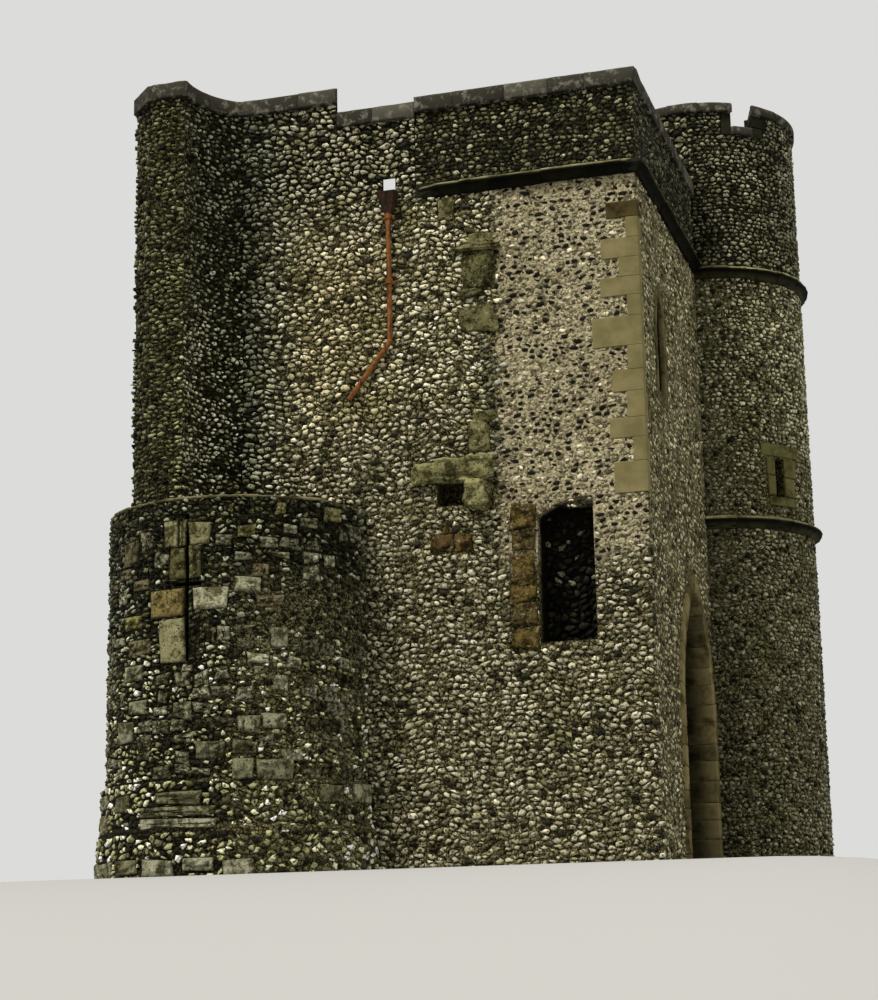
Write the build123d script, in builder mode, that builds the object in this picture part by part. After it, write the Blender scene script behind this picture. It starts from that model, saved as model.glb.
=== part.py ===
from build123d import *
import math
import os

os.makedirs("parts", exist_ok=True)

# A flint-rubble barbican: a gate block with a passage along X, two low round drums with
# coved piers at its outer front (-X), and a taller round stair turret at one inner corner.
# Millimetres. X runs through the gate, +X is the inner (rear) face, +Z is up, Z = 0 is the ground.
# The origin is under the middle of the whole plan.

# Driving dimensions: gate block
block_length = 7600
block_width = 7000
lower_wall = 1250
upper_wall = 1100
floor_thickness = 300
floor_level = 6450
deck_thickness = 300
deck_level = 10740

# Parapet and its copings: outer top edges of the three heights
parapet_thickness = 450
block_top = 12370
low_top = 12290
pier_top = 12710
merlon_end = 4860
low_end = 3540
coping_height = 250
coping_overhang = 60
coping_rise = 60
merlon_splay = 160

# String course
string_level = 10880
string_height = 230
string_reach = 140
string_lip = 45
string_hollow_reach = 63
string_hollow_rise = 72
string_taper = 530

# Gate arches: the passage is what the masonry beside it leaves, with a span-tied arch
gate_side = 2150
gate_spring = 2500
gate_arch_ratio = 0.9
gate_ring = 250
gate_ring_depth = 410
gate_ring_proud = 40

# Lancets
lancet_width = 540
lancet_sill = 7490
lancet_spring = 8520
lancet_arch_radius = 740
lancet_frame = 190
lancet_frame_depth = 300
lancet_frame_proud = 12
rear_lancet_from_corner = 1520
front_lancet_spacing = 2600

# Round drums at the outer front
drum_radius = 2040
drum_wall = 700
drum_setback = 6507
drum_height = 5600
drum_cap = 250
drum_floor_level = 2900
drum_floor_thickness = 150
drum_ledge = 150
plinth_height = 1430
plinth_lower_step = 700
plinth_reach = 140
slit_width = 60
slit_sill = 3150
slit_arm_level = 4290
slit_arm_length = 440
slit_arm_height = 60
slit_offset = 55

# Piers above the drums
pier_projection = 1087
pier_left = 500
pier_chamfer = 450
pier_face = 570
pier_return = 900
cove_width = 570
cove_sagitta = 172

# Stair turret
turret_radius = 1742
turret_wall = 742
turret_setback = 110
turret_lower_string = 6020
turret_upper_string = 10800
turret_top = 13900
turret_coping_height = 170
turret_coping_bevel = 20
turret_parapet_height = 1450
crenel_depth = 430
crenel_sill = 150
crenel_count = 4
crenel_angle = -53.2
crenel_width = 400
crenel_inner_width = 870
turret_slit_angle = -40
turret_slit_width = 180
turret_slit_sill = 6600
turret_slit_height = 700
turret_frame_margin = 260
turret_frame_depth = 200
turret_frame_proud = 15

# Marks on the near flank, measured along the wall from its rear corner
drain_from_corner = 3990
drain_width = 200
drain_height = 280
drain_lift = 30
drain_mouth_width = 490
drain_mouth_height = 470
opening_from_corner = 3075
opening_width = 430
opening_sill = 5600
opening_height = 400
opening_depth = 450
recess_from_corner = 1285
recess_width = 870
recess_sill = 3400
recess_low_head = 5330
recess_high_head = 5590
recess_head_rise = 82
recess_depth = 500
lintel_width = 1280
lintel_height = 330
lintel_proud = 110
corbel_radius = 215
corbel_proud = 230
jamb_width = 410
jamb_height = 2100
jamb_proud = 60

# Rainwater goods
hopper_width = 330
hopper_height = 340
hopper_depth = 240
hopper_wall = 12
pipe_diameter = 82
pipe_standoff = 45
pipe_foot = 8300
pipe_leg_drop = 870
pipe_leg_run = 690
pipe_bend_radius = 164
lower_collar_drop = 1170
collar_diameter = 112
collar_height = 90
lug_width = 190
lug_height = 40

# Clearance left between curved faces that touch
seat_gap = 0.3

# Places worked out from the sizes above
half_width = block_width / 2
gate_width = block_width - 2 * gate_side
gate_arch_radius = gate_arch_ratio * gate_width
turret_deck_level = turret_top - turret_parapet_height
turret_reach = turret_radius + string_reach - turret_setback
drum_reach = drum_setback + drum_radius + plinth_reach
x_rear = (drum_reach - turret_reach) / 2
x_front = x_rear - block_length
drum_x = x_rear - drum_setback
turret_x = x_rear - turret_setback
ledge_level = floor_level - floor_thickness
wall_head = deck_level - deck_thickness
block_wall_top = block_top - coping_height
low_wall_top = low_top - coping_height
pier_wall_top = pier_top - coping_height
merlon_x = x_rear - merlon_end
low_x = x_rear - low_end
string_base = string_level - string_height
cap_level = drum_height - drum_cap
cove_end = x_front - pier_left + pier_chamfer + pier_face + cove_width


def pointed_outline(width, sill, spring, radius):
    """Face of a two-centred pointed opening, with its sill and springing at these heights."""
    rise = math.sqrt(radius**2 - (radius - width / 2) ** 2)
    sweep_angle = math.degrees(math.asin(rise / radius))
    with BuildSketch() as face:
        with BuildLine():
            CenterArc((width / 2 - radius, spring), radius, 0, sweep_angle)
            CenterArc((radius - width / 2, spring), radius, 180, -sweep_angle)
            Polyline((-width / 2, spring), (-width / 2, sill), (width / 2, sill), (width / 2, spring))
        make_face()
    return face.sketch


def plan_rectangle(x0, x1, y0, y1):
    """Rectangle in plan between two X and two Y values."""
    with Locations(((x0 + x1) / 2, (y0 + y1) / 2)):
        Rectangle(x1 - x0, y1 - y0)


# Room of the stair turret and of the gate block, cut from the pieces that meet them
with BuildPart() as turret_room:
    with BuildSketch():
        with Locations((turret_x, half_width)):
            Circle(turret_radius + seat_gap)
    extrude(amount=turret_top)

with BuildPart() as turret_string_room:
    with BuildSketch():
        with Locations((turret_x, half_width)):
            Circle(turret_radius + string_reach + 2 * seat_gap)
    extrude(amount=turret_top)

with BuildPart() as block_room:
    with BuildSketch():
        plan_rectangle(x_front - seat_gap, x_rear, -half_width - seat_gap, half_width + seat_gap)
    extrude(amount=turret_top)


def finish(part, name):
    """Labels a finished piece and writes it to its own file."""
    part.label = name
    export_step(part, f"parts/{name}.step")


# Arched recess in the near flank, its broken head rising towards the rear corner
with BuildPart() as recess_room:
    recess_left = x_rear - recess_from_corner - recess_width / 2
    recess_right = recess_left + recess_width
    with BuildSketch(Plane.XZ.offset(half_width)):
        with BuildLine():
            Polyline(
                (recess_left, recess_low_head),
                (recess_left, recess_sill),
                (recess_right, recess_sill),
                (recess_right, recess_high_head),
            )
            SagittaArc((recess_right, recess_high_head), (recess_left, recess_low_head), -recess_head_rise)
        make_face()
    extrude(amount=-recess_depth)


# Lower storey: front and rear walls, split beside and over their gate arches
def gate_wall_side(x_face, inward, y0, y1):
    """Wall beside the gate, from the ground to the floor ledge, cut back for the arch ring."""
    with BuildPart() as side:
        with BuildSketch():
            x_inner = x_face + inward * lower_wall
            plan_rectangle(min(x_face, x_inner), max(x_face, x_inner), y0, y1)
        extrude(amount=ledge_level)
        with BuildSketch(Plane.YZ.offset(x_face)):
            add(pointed_outline(gate_width + 2 * gate_ring, 0, gate_spring, gate_arch_radius + gate_ring))
        extrude(amount=inward * gate_ring_depth, mode=Mode.SUBTRACT)
        add(turret_room.part, mode=Mode.SUBTRACT)
    return side.part


def gate_wall_head(x_face, inward):
    """Wall over the gate: the block between the two sides, arched underneath."""
    with BuildPart() as head:
        with BuildSketch():
            x_inner = x_face + inward * lower_wall
            plan_rectangle(min(x_face, x_inner), max(x_face, x_inner), -gate_width / 2, gate_width / 2)
        extrude(amount=ledge_level)
        with BuildSketch(Plane.YZ.offset(x_face)):
            add(pointed_outline(gate_width, 0, gate_spring, gate_arch_radius))
        extrude(amount=inward * lower_wall, mode=Mode.SUBTRACT)
        with BuildSketch(Plane.YZ.offset(x_face)):
            add(pointed_outline(gate_width + 2 * gate_ring, 0, gate_spring, gate_arch_radius + gate_ring))
        extrude(amount=inward * gate_ring_depth, mode=Mode.SUBTRACT)
    return head.part


def gate_arch(x_face, inward):
    """Dressed jambs and pointed arch ring, standing a little proud of the wall face."""
    with BuildPart() as ring:
        with BuildSketch(Plane.YZ.offset(x_face - inward * gate_ring_proud)):
            add(pointed_outline(gate_width + 2 * gate_ring, 0, gate_spring, gate_arch_radius + gate_ring))
            add(pointed_outline(gate_width, 0, gate_spring, gate_arch_radius), mode=Mode.SUBTRACT)
        extrude(amount=inward * (gate_ring_depth + gate_ring_proud))
        outer_rim = ring.edges().group_by(Axis.X)[0 if inward > 0 else -1]
        chamfer(outer_rim.filter_by(GeomType.CIRCLE), length=gate_ring_proud / 2)
    return ring.part


with BuildPart() as front_wall_near_side:
    add(gate_wall_side(x_front, 1, -half_width, -gate_width / 2))
finish(front_wall_near_side.part, "front_wall_near_side")

with BuildPart() as front_wall_far_side:
    add(gate_wall_side(x_front, 1, gate_width / 2, half_width))
finish(front_wall_far_side.part, "front_wall_far_side")

with BuildPart() as front_wall_over_gate:
    add(gate_wall_head(x_front, 1))
finish(front_wall_over_gate.part, "front_wall_over_gate")

with BuildPart() as front_gate_arch:
    add(gate_arch(x_front, 1))
finish(front_gate_arch.part, "front_gate_arch")

with BuildPart() as rear_wall_near_side:
    add(gate_wall_side(x_rear, -1, -half_width, -gate_width / 2))
    add(recess_room.part, mode=Mode.SUBTRACT)
finish(rear_wall_near_side.part, "rear_wall_near_side")

with BuildPart() as rear_wall_far_side:
    add(gate_wall_side(x_rear, -1, gate_width / 2, half_width))
finish(rear_wall_far_side.part, "rear_wall_far_side")

with BuildPart() as rear_wall_over_gate:
    add(gate_wall_head(x_rear, -1))
finish(rear_wall_over_gate.part, "rear_wall_over_gate")

with BuildPart() as rear_gate_arch:
    add(gate_arch(x_rear, -1))
finish(rear_gate_arch.part, "rear_gate_arch")

# Lower flanks, between the front and rear walls
with BuildPart() as near_flank_lower:
    with BuildSketch():
        plan_rectangle(x_front + lower_wall, x_rear - lower_wall, -half_width, lower_wall - half_width)
    extrude(amount=ledge_level)
    with BuildSketch(Plane.XZ.offset(half_width)):
        with Locations((x_rear - opening_from_corner, opening_sill + opening_height / 2)):
            Rectangle(opening_width, opening_height)
    extrude(amount=-opening_depth, mode=Mode.SUBTRACT)
    add(recess_room.part, mode=Mode.SUBTRACT)
finish(near_flank_lower.part, "near_flank_lower")

with BuildPart() as far_flank_lower:
    with BuildSketch():
        plan_rectangle(x_front + lower_wall, x_rear - lower_wall, half_width - lower_wall, half_width)
    extrude(amount=ledge_level)
    add(turret_room.part, mode=Mode.SUBTRACT)
finish(far_flank_lower.part, "far_flank_lower")

# Upper storey walls, set back inside to leave the floor ledge
upper_height = wall_head - ledge_level

with BuildPart() as near_flank_upper:
    with BuildSketch(Plane.XY.offset(ledge_level)):
        plan_rectangle(x_front + upper_wall, x_rear - upper_wall, -half_width, upper_wall - half_width)
    extrude(amount=upper_height)
finish(near_flank_upper.part, "near_flank_upper")

with BuildPart() as far_flank_upper:
    with BuildSketch(Plane.XY.offset(ledge_level)):
        plan_rectangle(x_front + upper_wall, x_rear - upper_wall, half_width - upper_wall, half_width)
    extrude(amount=upper_height)
    add(turret_room.part, mode=Mode.SUBTRACT)
finish(far_flank_upper.part, "far_flank_upper")


def lancet_wall(x_face, inward, lancet_places):
    """Upper wall with lancets cut through, and a pocket in its face for each stone frame."""
    frame_width = lancet_width + 2 * lancet_frame
    with BuildPart() as wall:
        with BuildSketch(Plane.XY.offset(ledge_level)):
            x_inner = x_face + inward * upper_wall
            plan_rectangle(min(x_face, x_inner), max(x_face, x_inner), -half_width, half_width)
        extrude(amount=upper_height)
        for y in lancet_places:
            lancet_plane = Plane.YZ.offset(x_face).shift_origin((x_face, y, 0))
            with BuildSketch(lancet_plane):
                add(pointed_outline(lancet_width, lancet_sill, lancet_spring, lancet_arch_radius))
            extrude(amount=inward * upper_wall, mode=Mode.SUBTRACT)
            with BuildSketch(lancet_plane):
                frame_sill = lancet_sill - lancet_frame
                frame_radius = lancet_arch_radius + lancet_frame
                add(pointed_outline(frame_width, frame_sill, lancet_spring, frame_radius))
            extrude(amount=inward * lancet_frame_depth, mode=Mode.SUBTRACT)
        add(turret_room.part, mode=Mode.SUBTRACT)
    return wall.part


rear_lancet_y = rear_lancet_from_corner - half_width
front_lancets = [-front_lancet_spacing / 2, front_lancet_spacing / 2]

with BuildPart() as front_wall_upper:
    add(lancet_wall(x_front, 1, front_lancets))
finish(front_wall_upper.part, "front_wall_upper")

with BuildPart() as rear_wall_upper:
    add(lancet_wall(x_rear, -1, [rear_lancet_y]))
finish(rear_wall_upper.part, "rear_wall_upper")

# Stone frames of the lancets, one seated in each pocket
with BuildPart() as lancet_frames:
    lancet_seats = [(x_front, 1, y) for y in front_lancets] + [(x_rear, -1, rear_lancet_y)]
    for x_face, inward, y in lancet_seats:
        x_outer = x_face - inward * lancet_frame_proud
        with BuildSketch(Plane.YZ.offset(x_outer).shift_origin((x_outer, y, 0))):
            frame_width = lancet_width + 2 * lancet_frame
            frame_sill = lancet_sill - lancet_frame
            add(pointed_outline(frame_width, frame_sill, lancet_spring, lancet_arch_radius + lancet_frame))
            light = pointed_outline(lancet_width, lancet_sill, lancet_spring, lancet_arch_radius)
            add(light, mode=Mode.SUBTRACT)
        extrude(amount=inward * (lancet_frame_depth + lancet_frame_proud))
finish(lancet_frames.part, "lancet_frames")

# Upper floor on its ledge, and the roof deck on the wall heads
with BuildPart() as upper_floor:
    with BuildSketch(Plane.XY.offset(ledge_level)):
        room_half = half_width - upper_wall
        plan_rectangle(x_front + upper_wall, x_rear - upper_wall, -room_half, room_half)
    extrude(amount=floor_thickness)
    add(turret_room.part, mode=Mode.SUBTRACT)
finish(upper_floor.part, "upper_floor")

with BuildPart() as roof_deck:
    with BuildSketch(Plane.XY.offset(wall_head)):
        inner_half = half_width - parapet_thickness
        plan_rectangle(x_front + parapet_thickness, x_rear - parapet_thickness, -inner_half, inner_half)
    extrude(amount=deck_thickness)
    add(turret_room.part, mode=Mode.SUBTRACT)
finish(roof_deck.part, "roof_deck")


# Parapets: stepped walls on the outer edge of the wall heads
def side_parapet(y_outer):
    """Flank parapet: a high merlon with a splayed end, the low stretch, then the long rear block."""
    with BuildPart() as wall:
        with BuildSketch(Plane.XZ.offset(y_outer)):
            with BuildLine():
                Polyline(
                    (x_front, wall_head),
                    (x_rear, wall_head),
                    (x_rear, block_wall_top),
                    (low_x, block_wall_top),
                    (low_x, low_wall_top),
                    (merlon_x, low_wall_top),
                    (merlon_x, pier_wall_top),
                    (x_front, pier_wall_top),
                    close=True,
                )
            make_face()
        extrude(amount=-parapet_thickness)
        with BuildSketch(Plane.XY.offset(low_wall_top)):
            with BuildLine():
                y_inner = parapet_thickness - y_outer
                splay_end = (merlon_x - merlon_splay, y_inner)
                Polyline((merlon_x, -y_outer), (merlon_x, y_inner), splay_end, close=True)
            make_face()
        extrude(amount=pier_wall_top - low_wall_top, mode=Mode.SUBTRACT)
    return wall.part


with BuildPart() as near_parapet:
    add(side_parapet(half_width))
    drain_x = x_rear - drain_from_corner
    drain_sill = deck_level + drain_lift
    with BuildSketch(Plane.XZ.offset(half_width)):
        with Locations((drain_x, drain_sill + drain_height / 2)):
            Rectangle(drain_width, drain_height)
    with BuildSketch(Plane.XZ.offset(half_width - parapet_thickness)):
        with Locations((drain_x, drain_sill + drain_mouth_height / 2)):
            Rectangle(drain_mouth_width, drain_mouth_height)
    loft(ruled=True, mode=Mode.SUBTRACT)
finish(near_parapet.part, "near_parapet")

with BuildPart() as far_parapet:
    mirror(side_parapet(half_width), about=Plane.XZ)
    add(turret_room.part, mode=Mode.SUBTRACT)
finish(far_parapet.part, "far_parapet")

with BuildPart() as rear_parapet:
    with BuildSketch(Plane.XY.offset(wall_head)):
        inner_half = half_width - parapet_thickness
        plan_rectangle(x_rear - parapet_thickness, x_rear, -inner_half, inner_half)
    extrude(amount=block_wall_top - wall_head)
    add(turret_room.part, mode=Mode.SUBTRACT)
finish(rear_parapet.part, "rear_parapet")

with BuildPart() as front_parapet:
    with BuildSketch(Plane.XY.offset(wall_head)):
        inner_half = half_width - parapet_thickness
        plan_rectangle(x_front, x_front + parapet_thickness, -inner_half, inner_half)
    extrude(amount=low_wall_top - wall_head)
finish(front_parapet.part, "front_parapet")


# Copings: overhanging stones with a vertical outer face and a weathered top
def coping_run(plane, length):
    """Straight coping along the plane's normal; its section stands across the parapet."""
    half_section = parapet_thickness / 2 + coping_overhang
    with BuildPart() as run:
        with BuildSketch(plane):
            with BuildLine():
                Polyline(
                    (-half_section, 0),
                    (half_section, 0),
                    (half_section, coping_height),
                    (0, coping_height + coping_rise),
                    (-half_section, coping_height),
                    close=True,
                )
            make_face()
        extrude(amount=length)
    return run.part


def along_x(x0, y, z):
    """Plane across a coping that runs along +X from x0."""
    return Plane(origin=(x0, y, z), x_dir=(0, 1, 0), z_dir=(1, 0, 0))


def along_y(x, y0, z):
    """Plane across a coping that runs along +Y from y0."""
    return Plane(origin=(x, y0, z), x_dir=(-1, 0, 0), z_dir=(0, 1, 0))


coping_side = parapet_thickness / 2 + coping_overhang
near_ridge_y = parapet_thickness / 2 - half_width
rear_ridge_x = x_rear - parapet_thickness / 2
front_ridge_x = x_front + parapet_thickness / 2

# Room over the low stretch, from the merlon's splayed end to the long block
with BuildPart() as low_stretch_room:
    with BuildSketch(Plane.XY.offset(low_wall_top)):
        with BuildLine():
            splay_reach = merlon_splay * coping_side / parapet_thickness
            room_outer = near_ridge_y - coping_side
            room_inner = near_ridge_y + coping_side
            Polyline(
                (merlon_x - merlon_splay / 2 + splay_reach, room_outer),
                (low_x - seat_gap, room_outer),
                (low_x - seat_gap, room_inner),
                (merlon_x - merlon_splay / 2 - splay_reach, room_inner),
                close=True,
            )
        make_face()
    extrude(amount=pier_top)

with BuildPart() as low_coping:
    low_start = merlon_x - merlon_splay - coping_side
    add(coping_run(along_x(low_start, near_ridge_y, low_wall_top), low_x - low_start))
    add(low_stretch_room.part, mode=Mode.INTERSECT)

with BuildPart() as near_copings:
    merlon_length = merlon_x - x_front + 2 * coping_overhang
    add(coping_run(along_x(x_front - coping_overhang, near_ridge_y, pier_wall_top), merlon_length))
    add(low_stretch_room.part, mode=Mode.SUBTRACT)
    add(low_coping.part)
    block_length_x = x_rear + coping_overhang - low_x
    add(coping_run(along_x(low_x, near_ridge_y, block_wall_top), block_length_x))
finish(near_copings.part, "near_copings")

with BuildPart() as far_copings:
    mirror(near_copings.part, about=Plane.XZ)
    add(turret_room.part, mode=Mode.SUBTRACT)
finish(far_copings.part, "far_copings")

with BuildPart() as rear_coping:
    rear_start = near_ridge_y + coping_side
    add(coping_run(along_y(rear_ridge_x, rear_start, block_wall_top), 2 * abs(rear_start)))
    add(turret_room.part, mode=Mode.SUBTRACT)
finish(rear_coping.part, "rear_coping")

with BuildPart() as front_coping:
    front_start = near_ridge_y + coping_side
    add(coping_run(along_y(front_ridge_x, front_start, low_wall_top), 2 * abs(front_start)))
    with BuildSketch(Plane.XY.offset(low_wall_top)):
        plan_rectangle(x_front - coping_overhang, x_front, pier_return - half_width, front_start)
        plan_rectangle(x_front - coping_overhang, x_front, -front_start, half_width - pier_return)
    extrude(amount=coping_height + coping_rise, mode=Mode.SUBTRACT)
finish(front_coping.part, "front_coping")


# String course: a hollow-moulded course with a weathered top, dying into the flank at its near end
def string_section(plane):
    """Section of the string course: x is the reach from the wall face, y the height."""
    with BuildSketch(plane) as section:
        with BuildLine():
            hollow_top = string_height - string_lip - string_reach / 2
            Line((0, 0), (string_lip / 2, 0))
            Polyline(
                (string_lip / 2, 0),
                (string_hollow_reach, string_hollow_rise),
                (string_reach, hollow_top),
                (string_reach, hollow_top + string_lip),
                (0, string_height),
                (0, 0),
            )
        make_face()
    return section.sketch


with BuildPart() as string_course:
    with BuildLine() as string_path:
        Polyline(
            (low_x, -half_width, string_base),
            (x_rear, -half_width, string_base),
            (x_rear, half_width, string_base),
        )
    string_start = Plane(origin=(low_x, -half_width, string_base), x_dir=(0, -1, 0), z_dir=(-1, 0, 0))
    sweep(sections=string_section(string_start), path=string_path.wires()[0], transition=Transition.RIGHT)
    add(turret_string_room.part, mode=Mode.SUBTRACT)
    with BuildSketch(Plane.XY.offset(string_base)):
        with BuildLine():
            string_edge = -half_width - string_reach
            taper_root = (low_x, string_lip / -2 - half_width)
            Polyline(taper_root, (low_x, string_edge), (low_x + string_taper, string_edge), close=True)
        make_face()
    extrude(amount=string_height, mode=Mode.SUBTRACT)
finish(string_course.part, "string_course")

with BuildPart() as far_string_course:
    with BuildLine() as far_string_path:
        Polyline((turret_x, half_width, string_base), (cove_end, half_width, string_base))
    far_start = Plane(origin=(turret_x, half_width, string_base), x_dir=(0, 1, 0), z_dir=(1, 0, 0))
    sweep(sections=string_section(far_start), path=far_string_path.wires()[0])
    add(turret_string_room.part, mode=Mode.SUBTRACT)
finish(far_string_course.part, "far_string_course")


# Drums: hollow round towers around the outer corners of the block
with BuildPart() as near_drum_plinth:
    with BuildSketch(Plane.XZ.offset(half_width)):
        with BuildLine():
            inner = drum_x + drum_radius - drum_wall - drum_ledge
            step = drum_x + drum_radius + plinth_reach / 2
            foot = drum_x + drum_radius + plinth_reach
            Polyline(
                (inner, 0),
                (foot, 0),
                (foot, plinth_lower_step),
                (step, plinth_lower_step + plinth_reach / 2),
                (step, plinth_height - plinth_reach / 2),
                (drum_x + drum_radius, plinth_height),
                (inner, plinth_height),
                close=True,
            )
        make_face()
    drum_axis = Axis((drum_x, -half_width, 0), (0, 0, 1))
    revolve(axis=drum_axis)
    add(block_room.part, mode=Mode.SUBTRACT)
finish(near_drum_plinth.part, "near_drum_plinth")

with BuildPart() as near_drum_wall:
    with BuildSketch(Plane.XZ.offset(half_width)):
        with BuildLine():
            upper_bore = drum_x + drum_radius - drum_wall
            lower_bore = upper_bore - drum_ledge
            floor_seat = drum_floor_level - drum_floor_thickness
            Polyline(
                (lower_bore, plinth_height),
                (drum_x + drum_radius, plinth_height),
                (drum_x + drum_radius, cap_level),
                (upper_bore, cap_level),
                (upper_bore, floor_seat),
                (lower_bore, floor_seat),
                close=True,
            )
        make_face()
    revolve(axis=drum_axis)
    add(block_room.part, mode=Mode.SUBTRACT)
    slit_x = drum_x - slit_offset
    with BuildSketch(Plane.XZ.offset(half_width + drum_radius)):
        with Locations((slit_x, (slit_sill + cap_level) / 2)):
            Rectangle(slit_width, cap_level - slit_sill)
        with Locations((slit_x, slit_arm_level)):
            Rectangle(slit_arm_length, slit_arm_height)
    extrude(amount=-drum_radius, mode=Mode.SUBTRACT)
finish(near_drum_wall.part, "near_drum_wall")

with BuildPart() as near_drum_cap:
    with BuildSketch(Plane.XY.offset(cap_level)):
        with Locations((drum_x, -half_width)):
            Circle(drum_radius)
    extrude(amount=drum_cap)
    add(block_room.part, mode=Mode.SUBTRACT)
finish(near_drum_cap.part, "near_drum_cap")

with BuildPart() as far_drum_plinth:
    mirror(near_drum_plinth.part, about=Plane.XZ)
finish(far_drum_plinth.part, "far_drum_plinth")

with BuildPart() as far_drum_wall:
    mirror(near_drum_wall.part, about=Plane.XZ)
finish(far_drum_wall.part, "far_drum_wall")

with BuildPart() as far_drum_cap:
    mirror(near_drum_cap.part, about=Plane.XZ)
finish(far_drum_cap.part, "far_drum_cap")

with BuildPart() as drum_floors:
    with BuildSketch(Plane.XY.offset(drum_floor_level - drum_floor_thickness)):
        with Locations((drum_x, -half_width), (drum_x, half_width)):
            Circle(drum_radius - drum_wall - seat_gap)
    extrude(amount=drum_floor_thickness)
    add(block_room.part, mode=Mode.SUBTRACT)
finish(drum_floors.part, "drum_floors")


# Piers: solid masses on the drum caps, chamfered outside and coved towards the flank
def pier_plan(grow=0):
    """Plan of the near pier, wrapped round the front corner of the block."""
    face_y = -half_width - pier_projection - grow
    left_x = x_front - pier_left - grow
    face_left = left_x + pier_chamfer
    face_right = face_left + pier_face + 2 * grow
    cove_foot = cove_end + grow
    return_y = pier_return - half_width + grow
    with BuildSketch() as plan:
        with BuildLine():
            Polyline(
                (left_x, return_y),
                (left_x, face_y + pier_chamfer),
                (face_left, face_y),
                (face_right, face_y),
            )
            SagittaArc((face_right, face_y), (cove_foot, -half_width - seat_gap), cove_sagitta)
            Polyline(
                (cove_foot, -half_width - seat_gap),
                (x_front - seat_gap, -half_width - seat_gap),
                (x_front - seat_gap, return_y),
                (left_x, return_y),
            )
        make_face()
    return plan.sketch


with BuildPart() as near_pier:
    with BuildSketch(Plane.XY.offset(drum_height)):
        add(pier_plan())
    extrude(amount=pier_wall_top - drum_height)
finish(near_pier.part, "near_pier")

with BuildPart() as far_pier:
    mirror(near_pier.part, about=Plane.XZ)
finish(far_pier.part, "far_pier")

with BuildPart() as pier_copings:
    with BuildSketch(Plane.XY.offset(pier_wall_top)):
        add(pier_plan(coping_overhang))
    extrude(amount=coping_height)
    with BuildSketch(Plane.XY.offset(pier_wall_top)):
        reach = coping_overhang + seat_gap
        plan_rectangle(x_front - reach, x_rear, -half_width - reach, half_width + reach)
    extrude(amount=coping_height, mode=Mode.SUBTRACT)
    mirror(about=Plane.XZ)
finish(pier_copings.part, "pier_copings")


# Stair turret: a round shell in stages, with strings, deck and crenellated parapet with sill slabs
def turret_ring(base, top, outer, inner):
    """Round wall of the turret between two levels."""
    with BuildPart() as ring:
        with BuildSketch(Plane.XY.offset(base)):
            with Locations((turret_x, half_width)):
                Circle(outer)
                Circle(inner, mode=Mode.SUBTRACT)
        extrude(amount=top - base)
    return ring.part


turret_bore = turret_radius - turret_wall
turret_parapet_bore = turret_radius - parapet_thickness
turret_deck_seat = turret_deck_level - deck_thickness / 2
merlon_top = turret_top - turret_coping_height
slit_turn = Location((turret_x, half_width, 0), (0, 0, turret_slit_angle))
frame_face = turret_radius + turret_frame_proud
frame_width_turret = turret_slit_width + 2 * turret_frame_margin
frame_height_turret = turret_slit_height + 2 * turret_frame_margin
slit_middle = turret_slit_sill + turret_slit_height / 2
crenel_base = merlon_top - crenel_depth


def crenel_blocks(base, top):
    """A block through the parapet at each crenel, between two levels: straight outside and splayed inwards."""
    overrun = 2 * coping_overhang
    splay = (crenel_inner_width - crenel_width) / (2 * parapet_thickness)
    outside = turret_radius + overrun
    inside = turret_parapet_bore - overrun
    half_out = crenel_width / 2
    half_in = crenel_inner_width / 2 + splay * overrun
    with BuildPart() as blocks:
        with BuildSketch(Plane((turret_x, half_width, base))):
            with PolarLocations(0, crenel_count, start_angle=crenel_angle):
                Polygon(
                    (outside, -half_out),
                    (outside, half_out),
                    (turret_radius, half_out),
                    (inside, half_in),
                    (inside, -half_in),
                    (turret_radius, -half_out),
                    align=None,
                )
        extrude(amount=top - base)
    return blocks.part


with BuildPart() as turret_lower_stage:
    add(turret_ring(0, turret_lower_string, turret_radius, turret_bore))
finish(turret_lower_stage.part, "turret_lower_stage")

with BuildPart() as turret_middle_stage:
    add(turret_ring(turret_lower_string, string_base, turret_radius, turret_bore))
    with Locations(slit_turn):
        with Locations((turret_radius / 2, 0, slit_middle)):
            Box(turret_radius + turret_wall, turret_slit_width, turret_slit_height, mode=Mode.SUBTRACT)
        with Locations((frame_face - turret_frame_depth / 2, 0, slit_middle)):
            Box(turret_frame_depth, frame_width_turret, frame_height_turret, mode=Mode.SUBTRACT)
finish(turret_middle_stage.part, "turret_middle_stage")

with BuildPart() as turret_slit_frame:
    with Locations(slit_turn):
        with Locations((frame_face - turret_frame_depth / 2, 0, slit_middle)):
            Box(turret_frame_depth, frame_width_turret, frame_height_turret)
            Box(turret_frame_depth, turret_slit_width, turret_slit_height, mode=Mode.SUBTRACT)
    add(turret_ring(turret_lower_string, turret_top, frame_face, turret_bore), mode=Mode.INTERSECT)
finish(turret_slit_frame.part, "turret_slit_frame")

with BuildPart() as turret_upper_stage:
    add(turret_ring(string_base, turret_deck_seat, turret_radius, turret_bore))
finish(turret_upper_stage.part, "turret_upper_stage")

with BuildPart() as turret_deck:
    with BuildSketch(Plane.XY.offset(turret_deck_seat)):
        with Locations((turret_x, half_width)):
            Circle(turret_parapet_bore - seat_gap)
    extrude(amount=turret_deck_level - turret_deck_seat)
finish(turret_deck.part, "turret_deck")

with BuildPart() as turret_parapet:
    add(turret_ring(turret_deck_seat, merlon_top, turret_radius, turret_parapet_bore))
    add(crenel_blocks(crenel_base, merlon_top), mode=Mode.SUBTRACT)
finish(turret_parapet.part, "turret_parapet")

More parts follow.
